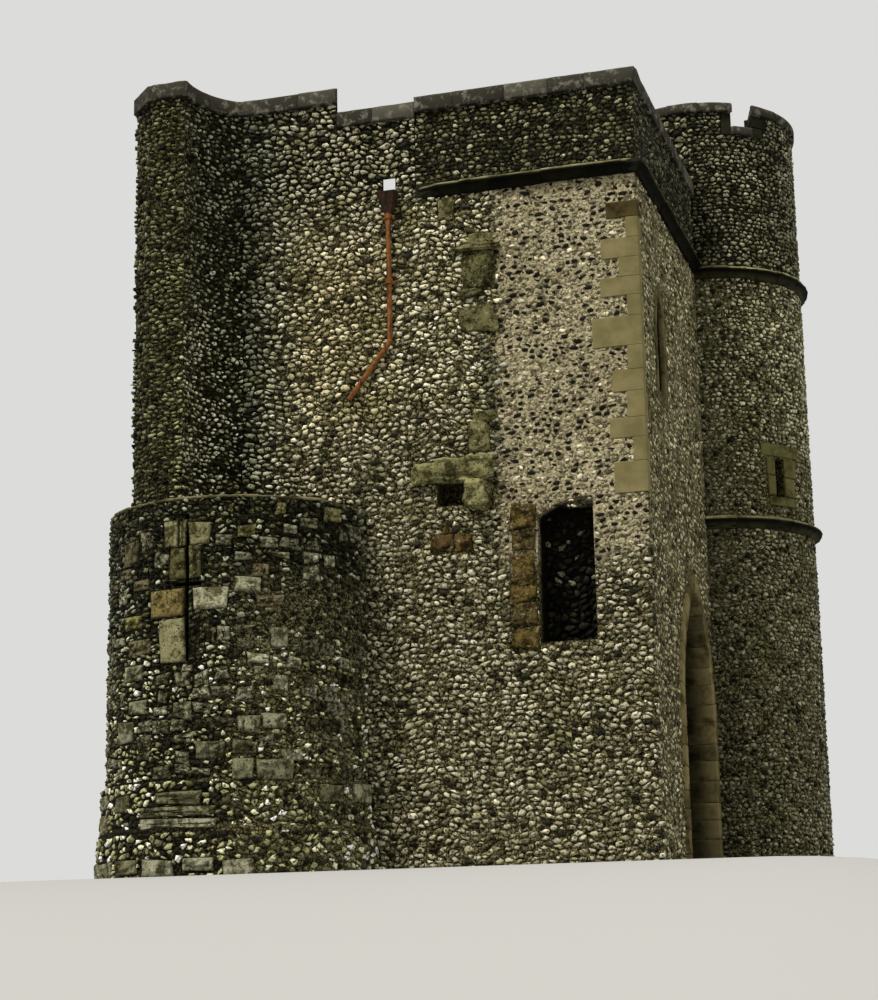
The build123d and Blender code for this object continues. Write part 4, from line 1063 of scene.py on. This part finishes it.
def worn_stones(name, stones, shares, seed, wear, finish):
    """Eroded stones: each is a superellipsoid, whose sines and cosines are raised to a power, with a knobbly skin.

    stones gives each centre, half sizes and power; a power near 0.3 is boxy and 1 is an ellipsoid.
    """
    rng = np.random.default_rng(seed)
    places, tints = [], []
    colours, parts = palette(shares)
    turns, rises = 40, 25
    around, up = np.meshgrid(
        np.linspace(0, 2 * np.pi, turns, endpoint=False), np.linspace(-np.pi / 2, np.pi / 2, rises)
    )

    def bent(value, power):
        return np.sign(value) * np.abs(value) ** power

    for centre, half, power in stones:
        level = bent(np.cos(up), power)
        across, back = bent(np.cos(around), power), bent(np.sin(around), power)
        unit = np.stack((level * across, level * back, bent(np.sin(up), power)), axis=-1)
        waves = rng.normal(0, 3.2, (9, 3))
        phase = rng.uniform(0, 6.3, 9)
        knobs = np.sin(unit @ waves.T + phase).sum(axis=-1) / 4.5 + rng.normal(0, 0.10, up.shape)
        knobs = knobs + np.sin(unit @ (3.2 * waves.T) + 2 * phase).sum(axis=-1) / 9
        knobs[0], knobs[-1] = knobs[0].mean(), knobs[-1].mean()
        placed = np.array(centre) + unit * (np.array(half) * (1 + wear * knobs[..., None]))
        places.append(placed.reshape(-1, 3))
        own = colours[rng.choice(len(colours), p=parts)]
        tints.append((own * (1 + 0.35 * knobs[..., None])).clip(0, 1).reshape(-1, 3))
    faces = copies(grid_faces(rises, turns, closed=True), rises * turns, len(stones))
    return mesh_piece(name, np.concatenate(places), faces, np.concatenate(tints), finish)


lintel_stones = [
    ((0.10, flank_y - 0.02, 6.13), (0.34, 0.13, 0.15), 0.45),
    ((0.50, flank_y - 0.03, 6.20), (0.36, 0.14, 0.13), 0.40),
    ((0.86, flank_y - 0.02, 6.17), (0.22, 0.12, 0.20), 0.5),
    ((0.62, flank_y + 0.00, 6.02), (0.30, 0.10, 0.07), 0.5),
]
corbel = [((0.835, flank_y - 0.02, 5.735), (0.215, 0.21, 0.235), 0.6)]
lintel = worn_stones(
    "broken_lintel", lintel_stones + corbel, {"#77744f": 1, "#84815a": 1}, 83, 0.17, mottled_ashlar
)
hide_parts("flank_scar_stones")
slab_stones = [
    ((0.90, flank_y - 0.03, 9.71), (0.37, 0.09, 0.045), 0.5),
    ((0.92, flank_y + 0.00, 9.33), (0.25, 0.05, 0.30), 0.35),
    ((0.90, flank_y + 0.00, 8.56), (0.28, 0.05, 0.20), 0.40),
    ((0.80, flank_y - 0.03, 8.96), (0.20, 0.09, 0.06), 0.6),
    ((0.41, flank_y + 0.01, 10.42), (0.13, 0.04, 0.18), 0.35),
    ((0.96, flank_y + 0.01, 9.86), (0.18, 0.05, 0.09), 0.4),
    ((0.86, flank_y + 0.00, 6.66), (0.17, 0.07, 0.25), 0.6),
    ((0.97, flank_y + 0.00, 6.97), (0.18, 0.06, 0.08), 0.6),
]
slab_colours = {"#5f5c3d": 1, "#726e4b": 1, "#545236": 0.7}
worn_stones("scar_slabs", slab_stones, slab_colours, 84, 0.20, mottled_ashlar)
red_stones = [(0.07, 0.41, 4.86, 5.15), (0.43, 0.73, 4.87, 5.14), (0.24, 0.40, 5.18, 5.35)]
squared_stones("red_sandstone_blocks", block_line, red_stones, {"#5d4a2a": 1, "#504127": 1}, 85, 0.034, 0.03,
               wear=0.012, uneven=0.016, finish=mottled_ashlar)
jamb_rows = [(1.30, 1.71, 5.16, 5.53), (1.31, 1.71, 4.80, 5.14), (1.33, 1.71, 4.41, 4.78), (1.30, 1.71, 4.02, 4.39)]
jamb_rows += [(1.32, 1.71, 3.66, 4.00), (1.30, 1.71, 3.29, 3.64)]
squared_stones("ochre_jamb_stones", block_line, jamb_rows, {"#64552e": 1, "#5a4e2e": 1, "#6d5d34": 0.6}, 86, 0.045,
               0.03, wear=0.020, uneven=0.024, finish=mottled_ashlar)

recess_back = wall_line([(recess[0], flank_y + 0.49), (recess[1], flank_y + 0.49)], start=recess[0])
# The flints at the back of the recess are painted near black as shade.
shaded_recess_flints = {"#1e1c12": 0.5, "#2b2919": 0.3, "#7c7964": 0.12, "#0e0d08": 0.3}
flint_field("shaded_recess_flints", recess_back, recess[:2], (3.4, 5.5), (0.12, 0.10), shaded_recess_flints, 87, sides=6)


# Gate arches and lancets
# Sandstone voussoirs and jamb stones with fine lime joints, each a little proud of the next, edges softened.
def arch_line(x_face, side, centre, half_width, foot, spring, apex):
    """Chart of a pointed opening's edge: distance round it, distance back into the wall's face, and distance out."""
    rise = apex - spring
    radius = (rise**2 + half_width**2) / (2 * half_width)
    turn = np.linspace(0, math.asin(rise / radius), 14)
    right = np.stack((half_width - radius + radius * np.cos(turn), spring + radius * np.sin(turn)), axis=1)
    points = np.concatenate(([(half_width, foot)], right, (right * (-1, 1))[-2::-1], [(-half_width, foot)]))
    edge = wall_line(points + (centre, 0), ease=0.02)
    length = np.hypot(*np.diff(points, axis=0).T).sum()
    return lambda s, back, out: edge(s, x_face + side * out, back)[..., [2, 0, 1]], length


gate_half = gate_ring[1] - 0.25
gate_radius = 2.43
gate_apex = gate_spring + math.sqrt(gate_radius**2 - (gate_radius - gate_half) ** 2)
gate_colours = {"#716a4c": 1, "#7b7353": 1, "#686146": 0.8, "#837957": 0.5}
ring_section = [(-0.012, 0.03), (0.006, 0.052), (0.255, 0.052), (0.255, -0.05), (-0.012, -0.41)]
for name, x_face, side, seed in (("rear_gate", rear_x, 1, 91), ("front_gate", front_x, -1, 92)):
    chart, length = arch_line(x_face, side, 0.0, gate_half, 0.0, gate_spring, gate_apex)
    half_joints = even_joints(0.0, length / 2, 0.33, seed)
    joints = np.concatenate((half_joints, length - half_joints[-2::-1]))
    stone_run(f"{name}_voussoirs", chart, joints, ring_section, gate_colours, seed, wear=0.003)
dress(["rear_gate_arch", "front_gate_arch", "lancet_frames", "turret_slit_frame", "flank_scar_stones"], lime_mortar)

lancet_radius = 0.74
lancet_apex = lancet_spring + math.sqrt(lancet_radius**2 - (lancet_radius - lancet_half) ** 2)
frame_width = lancet_room - lancet_half
frame_section = [(-0.006, 0.014), (0.020, 0.020), (frame_width, 0.020), (frame_width, -0.02), (-0.006, -0.30)]
frame_section += [(-0.006, -0.060), (-0.006, -0.045)]
# Painted light on the lancet frame's section: its face lit, its deep reveal near black as shade.
frame_lights = [1.0, 1.0, 0.9, 0.6, 0.05, 0.08, 0.75]
lancet_places = [(rear_x, 1, lancet_y[0]), (front_x, -1, -lancet_y[1]), (front_x, -1, lancet_y[1])]
for number, (x_face, side, y) in enumerate(lancet_places):
    chart, length = arch_line(x_face, side, y, lancet_half, lancet_low + frame_width, lancet_spring, lancet_apex)
    half_joints = even_joints(0.0, length / 2, 0.36, 95 + number)
    joints = np.concatenate((half_joints, length - half_joints[-2::-1]))
    stone_run(f"lancet_stones_{number + 1}", chart, joints, frame_section, {"#5f5b40": 1, "#676348": 1}, 95 + number,
              gap=0.005, wear=0.0015, lights=frame_lights)


# String courses
# A hollow-moulded string of hard grey stone in lengths of about 0.7 m, tailed into the wall. Its nose and top
# are painted pale as a highlight and its hollow near black as shade.
string_section = [
    (-0.008, -0.010), (-0.008, 0.036), (0.030, 0.050), (0.070, 0.086), (0.100, 0.135), (0.110, 0.152), (0.140, 0.157),
    (0.156, 0.157), (0.178, 0.140), (0.208, 0.070), (0.243, -0.010),
]
# Painted light on the string's section: shade in the hollow, a highlight on the nose and top.
shaded_hollow_lights = [0.06, 0.06, 0.07, 0.07, 0.05, 0.04, 0.06, 1.0, 2.4, 1.8, 1.0]
partly_shaded_hollow_lights = [0.34, 0.38, 0.40, 0.30, 0.07, 0.04, 0.10, 2.0, 3.6, 2.6, 1.2]
string_colours = {"#5b5b44": 1, "#53523c": 1, "#66664d": 0.6}
stone_run(
    "inner_string_stones", above(block_line, string_base), even_joints(low_x, rear_end, 0.68, 101), string_section,
    string_colours, 101, wear=0.006, lights=shaded_hollow_lights, scale=lambda s: fade(s, low_x - 0.15, low_x + 0.5),
)
stone_run(
    "far_string_stones", above(far_line, string_base), even_joints(-turret_meets_flank, -cove_x, 0.72, 102),
    string_section, string_colours, 102, wear=0.006, lights=shaded_hollow_lights,
)
for number, (low, high) in enumerate((lower_string, upper_string)):
    stone_run(
        f"turret_string_stones_{number + 1}", above(turret_line, low), even_joints(*turret_span, 0.55, 103 + number),
        string_section, string_colours, 103 + number, wear=0.007, lights=partly_shaded_hollow_lights,
    )


# Copings
# Thick gritstone copings, cut with an overhang and a weathered top, laid dry-looking end to end in lengths of
# 0.6 to 0.9 m. They are brown-black with grey lichen; the pale top edge is a painted highlight and the
# overhang's underside painted shade.
coping_grit, add, place = new_finish("coping_gritstone", 0.92, 0.06)
tint = add("Attribute", output="Color", attribute_name="tint")
lichen = add("TexNoise", {"Vector": place, "Scale": 7.0, "Detail": 6.0, "Roughness": 0.7})
grain = add("TexNoise", {"Vector": place, "Scale": 70.0, "Detail": 3.0})
colour = laid(add, tint, "#8b8778", (lichen, 0.50, 0.64), share=0.5)
height = add("Math", {0: lichen, 1: 1.5, 2: grain}, operation="MULTIPLY_ADD")
surface(coping_grit, {"Base Color": colour}, height, 0.6, 0.006)

coping_section = [
    (-0.010, -0.520), (-0.010, 0.066), (0.030, 0.070), (0.225, 0.072), (0.258, 0.052), (0.322, -0.225),
    (0.262, -0.500), (0.230, -0.522),
]
# Painted light on the coping's section: shade under the overhang, a highlight on the outer top arris.
coping_lights = [0.4, 0.35, 0.8, 1.0, 1.7, 1.2, 1.1, 0.7]
coping_colours = {"#37362f": 1, "#403e36": 1, "#2f2e27": 0.8, "#4a483f": 0.5}
dark_coping = {"#2a2921": 1, "#33322a": 1, "#24231c": 0.8}
reach = 0.06
merlon_splay = 0.16 / parapet_thick


def splayed(chart, side):
    """The same chart, slanted near the merlon's end as its splayed end face is, on the near or the far side."""
    end = side * merlon_x

    def slanted(s, z, out):
        near = np.clip(1 - np.abs(s - end) / 0.8, 0, 1)
        return chart(s + side * merlon_splay * np.minimum(out, 0) * near, z, out)

    return slanted


near_coping = splayed(wall_line([(front_x - reach, flank_y), (rear_x + reach, flank_y)], start=front_x - reach), 1)
far_points = [(turret_meets_flank + 0.08, -flank_y), (front_x - reach, -flank_y)]
far_coping = splayed(wall_line(far_points, start=-turret_meets_flank - 0.08), -1)
rear_coping = wall_line([(rear_x, inner_y + reach), (rear_x, turret_meets_rear - 0.1)], start=inner_y + reach)
front_coping = wall_line([(front_x, -inner_y - reach), (front_x, inner_y + reach)], start=inner_y + reach)
coping_runs = [
    ("near_merlon", near_coping, wall_top, front_x - reach, merlon_x),
    ("near_low", near_coping, low_top, merlon_x, low_x),
    ("near_block", near_coping, block_top, low_x, rear_x + reach),
    ("far_block", far_coping, block_top, -turret_meets_flank - 0.08, -low_x),
    ("far_low", far_coping, low_top, -low_x, -merlon_x),
    ("far_merlon", far_coping, wall_top, -merlon_x, reach - front_x),
    ("rear", rear_coping, block_top, inner_y + reach, turret_meets_rear - 0.1),
    ("front", front_coping, low_top, inner_y + reach, -inner_y - reach),
]
for number, (name, chart, level, start, end) in enumerate(coping_runs):
    stone_run(
        f"{name}_coping_stones", above(chart, level), even_joints(start, end, 0.78, 110 + number), coping_section,
        coping_colours, 110 + number, gap=0.007, wear=0.004, lights=coping_lights, finish=coping_grit,
    )

kerb_section = [
    (-0.010, -0.20), (-0.010, 0.066), (0.030, 0.070), (0.228, 0.072), (0.262, 0.048), (0.262, 0.010), (0.225, -0.040),
    (0.225, -0.20),
]
# The pier copings carry painted light: shade underneath, a highlight on the outer top edge.
for side, line, seed in (("near", near_pier_line, 121), ("far", far_pier_line, 122)):
    stone_run(
        f"{side}_pier_coping_stones", above(line, wall_top), even_joints(0.0, pier_length, 0.62, seed), kerb_section,
        dark_coping, seed, gap=0.007, wear=0.004, lights=[0.4, 0.35, 0.8, 1.0, 1.7, 1.4, 0.9, 0.7], cuts=7,
        finish=coping_grit,
    )

full_circle = arc_line(turret_centre, turret_radius, -100, 340)
crenel_splay = jamb_widening / parapet_thick


def jamb_turn(out):
    """Angle from a crenel's middle to its jambs, which run straight outside the face and splay inwards behind it."""
    return np.arcsin((crenel_half - crenel_splay * np.minimum(out, 0)) / (turret_radius + out))


def jamb_ended(start, end):
    """Chart round the turret in which the ends of a run follow the jambs of the crenels, at every radius."""
    def slanted(s, z, out):
        turn = jamb_turn(out) - jamb_turn(0.0)
        near_start, near_end = np.clip(1 - (s - start) / 0.9, 0, 1), np.clip(1 - (end - s) / 0.9, 0, 1)
        return full_circle(s + turret_radius * turn * (near_start - near_end), z, out)

    return slanted


def jamb_to_jamb(middle):
    """Chart of a crenel's floor, which widens inwards with the jambs."""
    return lambda s, z, out: full_circle(middle + (s - middle) * jamb_turn(out) / jamb_turn(0.0), z, out)


merlon_section = [
    (-0.010, -0.518), (-0.010, 0.066), (0.030, 0.070), (0.150, 0.072), (0.176, 0.050), (0.180, -0.225),
    (0.176, -0.500), (0.150, -0.522),
]
sill_section = [(-0.010, -0.518), (-0.010, 0.066), (0.020, 0.070), (0.140, 0.072), (0.160, 0.050), (0.160, -0.518)]
quarter = turret_radius * math.pi / 2
for number, angle in enumerate(crenel_angles):
    jamb = turret_radius * angle + crenel_reach
    next_jamb = jamb + quarter - 2 * crenel_reach
    stone_run(
        f"turret_coping_stones_{number + 1}", above(jamb_ended(jamb, next_jamb), merlon_top),
        even_joints(jamb, next_jamb, 0.62, 130 + number), merlon_section, dark_coping, 130 + number, gap=0.006,
        wear=0.003, lights=coping_lights, cuts=6, finish=coping_grit,
    )
    sill_start = jamb - 2 * crenel_reach
    # The sill slab's section carries painted light: shade underneath, a highlight on its outer top edge.
    stone_run(
        f"turret_sill_slab_{number + 1}", above(jamb_to_jamb(sill_start + crenel_reach), crenel_base),
        [sill_start, jamb], sill_section,
        coping_colours, 135 + number, gap=0.0, wear=0.002, lights=[0.3, 0.25, 0.5, 0.8, 1.6, 1.0], cuts=7,
        finish=coping_grit,
    )

# The CAD copings and strings stay as the cores of these stones, painted dark as the shade in the joints in
# which they can be seen.
coping_core = plain_finish("coping_stone_core", "#26251f", "#4a483d", 6.0, 0.92, 0.01)
dress([name for name in nodes if "coping" in name], coping_core)
string_core = plain_finish("string_stone_core", "#10120b", "#24261b", 9.0, 0.9, 0.006)
dress(["string_course", "far_string_course", "turret_strings"], string_core)


# Rainwater goods
# A cast-iron hopper under the drain hole and an 80 mm downpipe with eared collars, nailed to the wall. The paint
# has gone: the pipe is orange with rust, and the hopper is brown-black with old bitumen.
def rusty(name, base, bright, dark):
    """Rusted iron: matt, three tones, flaking over 20 to 80 mm."""
    finish, add, place = new_finish(name, 0.85, 0.12)
    flakes = add("TexNoise", {"Vector": place, "Scale": 22.0, "Detail": 6.0, "Roughness": 0.7})
    runs = add("Mapping", {"Vector": place, "Scale": (14.0, 14.0, 1.6)})
    runs = add("TexNoise", {"Vector": runs, "Scale": 1.0, "Detail": 3.0})
    colour = laid(add, base, bright, (flakes, 0.45, 0.62))
    colour = laid(add, colour, dark, (runs, 0.52, 0.66))
    surface(finish, {"Base Color": colour}, flakes, 0.6, 0.003)
    return finish


dress(["downpipe"], rusty("rusted_cast_iron", "#66401f", "#85562c", "#3a2616"))
dress(["hopper_head"], rusty("bitumen_painted_iron", "#2a1e17", "#3d2a1f", "#15110e"))


# Floors and roofs
# Oak boards on the upper floor and in the drums, lead sheet dressed over rolls on the roof deck and the turret.
def flat_chart(level, side=1):
    """Chart of a level surface: X, Y and height above it; side -1 looks up at its underside."""
    return lambda s, z, out: np.stack(np.broadcast_arrays(s, side * z, level + side * out), axis=-1)


# Oak boards worn matt, with the grain along them drawn 16 mm wide so that it shows.
oak, add, place = new_finish("old_oak_boards", 0.8, 0.3)
tint = add("Attribute", output="Color", attribute_name="tint")
fibre = add("Mapping", {"Vector": place, "Scale": (2.0, 60.0, 60.0)})
fibre = add("TexNoise", {"Vector": fibre, "Scale": 1.0, "Detail": 4.0})
colour = add("Mix", {0: fibre, 6: tint, 7: "#8a7a66"}, 2, data_type="RGBA", blend_type="MULTIPLY")
surface(oak, {"Base Color": colour}, fibre, 0.4, 0.002)

floor_low, floor_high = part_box("upper_floor")
board, board_gap, wall_gap = 0.22, 0.006, 0.01


def board_end(y, end):
    """Where a board stops: at the room's end, or short of the turret that stands in its corner."""
    inside = turret_radius**2 - (y - turret_y) ** 2
    return min(end, turret_x - math.sqrt(inside) - 0.02) if inside > 0 else end


board_rows = [
    (floor_low.x + wall_gap, board_end(y + board - board_gap, floor_high.x - wall_gap), y, y + board - board_gap)
    for y in np.arange(floor_low.y, floor_high.y - board, board)
]
ceiling_rows = [(x0, x1, -y1, -y0) for x0, x1, y0, y1 in board_rows]
for name, chart, rows, seed in (
    ("floor_boards", flat_chart(floor_high.z), board_rows, 141),
    ("ceiling_boards", flat_chart(floor_low.z, -1), ceiling_rows, 142),
):
    squared_stones(name, chart, rows, {"#5d4a33": 1, "#6a553b": 1, "#50402d": 1}, seed, 0.006, 0.004, wear=0.0005,
                   finish=oak)
dress(["upper_floor", "drum_floors"], oak)

# Lead sheet, dull grey where it has oxidised and paler where rain runs, dressed by hand over 60 mm rolls.
lead = plain_finish("weathered_lead", "#5d6166", "#8a8e90", 2.4, 0.55, 0.004)
dress(["roof_deck", "turret_deck"], lead)
roof = flat_chart(deck_level)
roll_radius = 0.03
roll_section = [
    (roll_radius * math.sin(a), 0.004 + roll_radius * (1 + math.cos(a)) * 0.8)
    for a in np.linspace(0, 2 * math.pi, 9)[:-1]
]
for number, x in enumerate(np.arange(inner_front + 0.6, inner_rear - 0.3, 0.66)):
    far_end = -inner_y - 0.02
    if abs(x - turret_x) < turret_radius:
        far_end = turret_y - math.sqrt(turret_radius**2 - (x - turret_x) ** 2) - 0.05
    stone_run(
        f"lead_roll_{number + 1}", lambda s, across, out, x=x: roof(x + across, s, out),
        even_joints(inner_y + 0.02, far_end, 2.2, 150 + number), roll_section, {"#777b7e": 1}, 150 + number,
        gap=0.002, wear=0.001, finish=lead,
    )


# Studio
# A pale floor, level under the walls and falling away in front, because the picture is taken from lower ground.
def ground_height(x, y):
    """0 under the building, easing down by 2.9 m over 12 m outside its plan."""
    outside = np.hypot(np.maximum(np.abs(x) - 5.2, 0), np.maximum(np.abs(y) - 5.7, 0))
    return -2.9 * fade(outside, 0.6, 12.0)


steps = np.concatenate((-np.geomspace(160, 24, 14), np.linspace(-22, 22, 89), np.geomspace(24, 160, 14)))
x, y = np.meshgrid(steps, steps)
ground = np.stack((x, y, ground_height(x, y) - 0.002), axis=-1).reshape(-1, 3)
ground_faces = grid_faces(len(steps), len(steps))
floor_mesh = bpy.data.meshes.new("studio_floor")
floor_mesh.from_pydata(ground.tolist(), [], ground_faces.tolist())
floor_mesh.shade_smooth()
studio_floor = bpy.data.objects.new("studio_floor", floor_mesh)
bpy.context.scene.collection.objects.link(studio_floor)
floor_paint = new_finish("pale_floor_paint", 0.9, 0.2)[0]
feed(floor_paint.node_tree.nodes["Principled BSDF"], {"Base Color": "#a6a7a7"})
floor_mesh.materials.append(floor_paint)

world = bpy.data.worlds.new("studio_light")
world.use_nodes = True
bpy.context.scene.world = world
tree = world.node_tree
tree.nodes.clear()
rays = add_node(tree, "LightPath").node.outputs
seen = add_node(tree, "Math", {0: rays["Is Camera Ray"], 1: rays["Is Glossy Ray"]}, operation="MAXIMUM")
seen = add_node(tree, "Math", {0: seen, 1: rays["Is Transmission Ray"]}, operation="MAXIMUM")
soft = add_node(tree, "Background", {"Color": "#fcfaf2", "Strength": 0.5})
pale = add_node(tree, "Background", {"Color": "#dcdcda", "Strength": 1.0})
add_node(tree, "OutputWorld", {"Surface": add_node(tree, "MixShader", {0: seen, 1: soft, 2: pale})})

# Wide soft lights: each has its strength, the way it shines and its spread in degrees.
for name, strength, toward, spread in (
    ("key_softbox", 3.6, (0.46, 0.66, -1.10), 14),
    ("fill_softbox", 0.9, (-0.9, 0.35, -0.75), 50),
):
    light = bpy.data.lights.new(name, "SUN")
    light.energy = strength
    light.angle = math.radians(spread)
    light.color = linear("#fffaf0")[:3]
    holder = bpy.data.objects.new(name, light)
    bpy.context.scene.collection.objects.link(holder)
    holder.rotation_mode = "QUATERNION"
    holder.rotation_quaternion = Vector(toward).to_track_quat("-Z", "Y")


# The camera stands where the picture was taken, 1.3 m below the foot of the walls.
standpoint = (9.1335, -33.5, -1.3)
yaw, pitch, roll = (math.radians(a) for a in (-16.592, 12.625, -1.123))
level_ahead = Vector((math.sin(yaw), math.cos(yaw), 0))
ahead = level_ahead * math.cos(pitch) + Vector((0, 0, 1)) * math.sin(pitch)
upward = Vector((0, 0, 1)) * math.cos(pitch) - level_ahead * math.sin(pitch)
rightward = Vector((math.cos(yaw), -math.sin(yaw), 0))
right = rightward * math.cos(roll) + upward * math.sin(roll)
up = upward * math.cos(roll) - rightward * math.sin(roll)
camera_data = bpy.data.cameras.new("camera")
focal_pixels, image_height = 2084.0, 1000
camera_data.sensor_width = 36.0
camera_data.lens = focal_pixels * camera_data.sensor_width / image_height
camera_data.clip_end = 500.0
camera = bpy.data.objects.new("camera", camera_data)
bpy.context.scene.collection.objects.link(camera)
camera.matrix_world = Matrix.Translation(standpoint) @ Matrix((right, up, -ahead)).transposed().to_4x4()
bpy.context.scene.camera = camera
bpy.context.scene.view_settings.view_transform = "Standard"
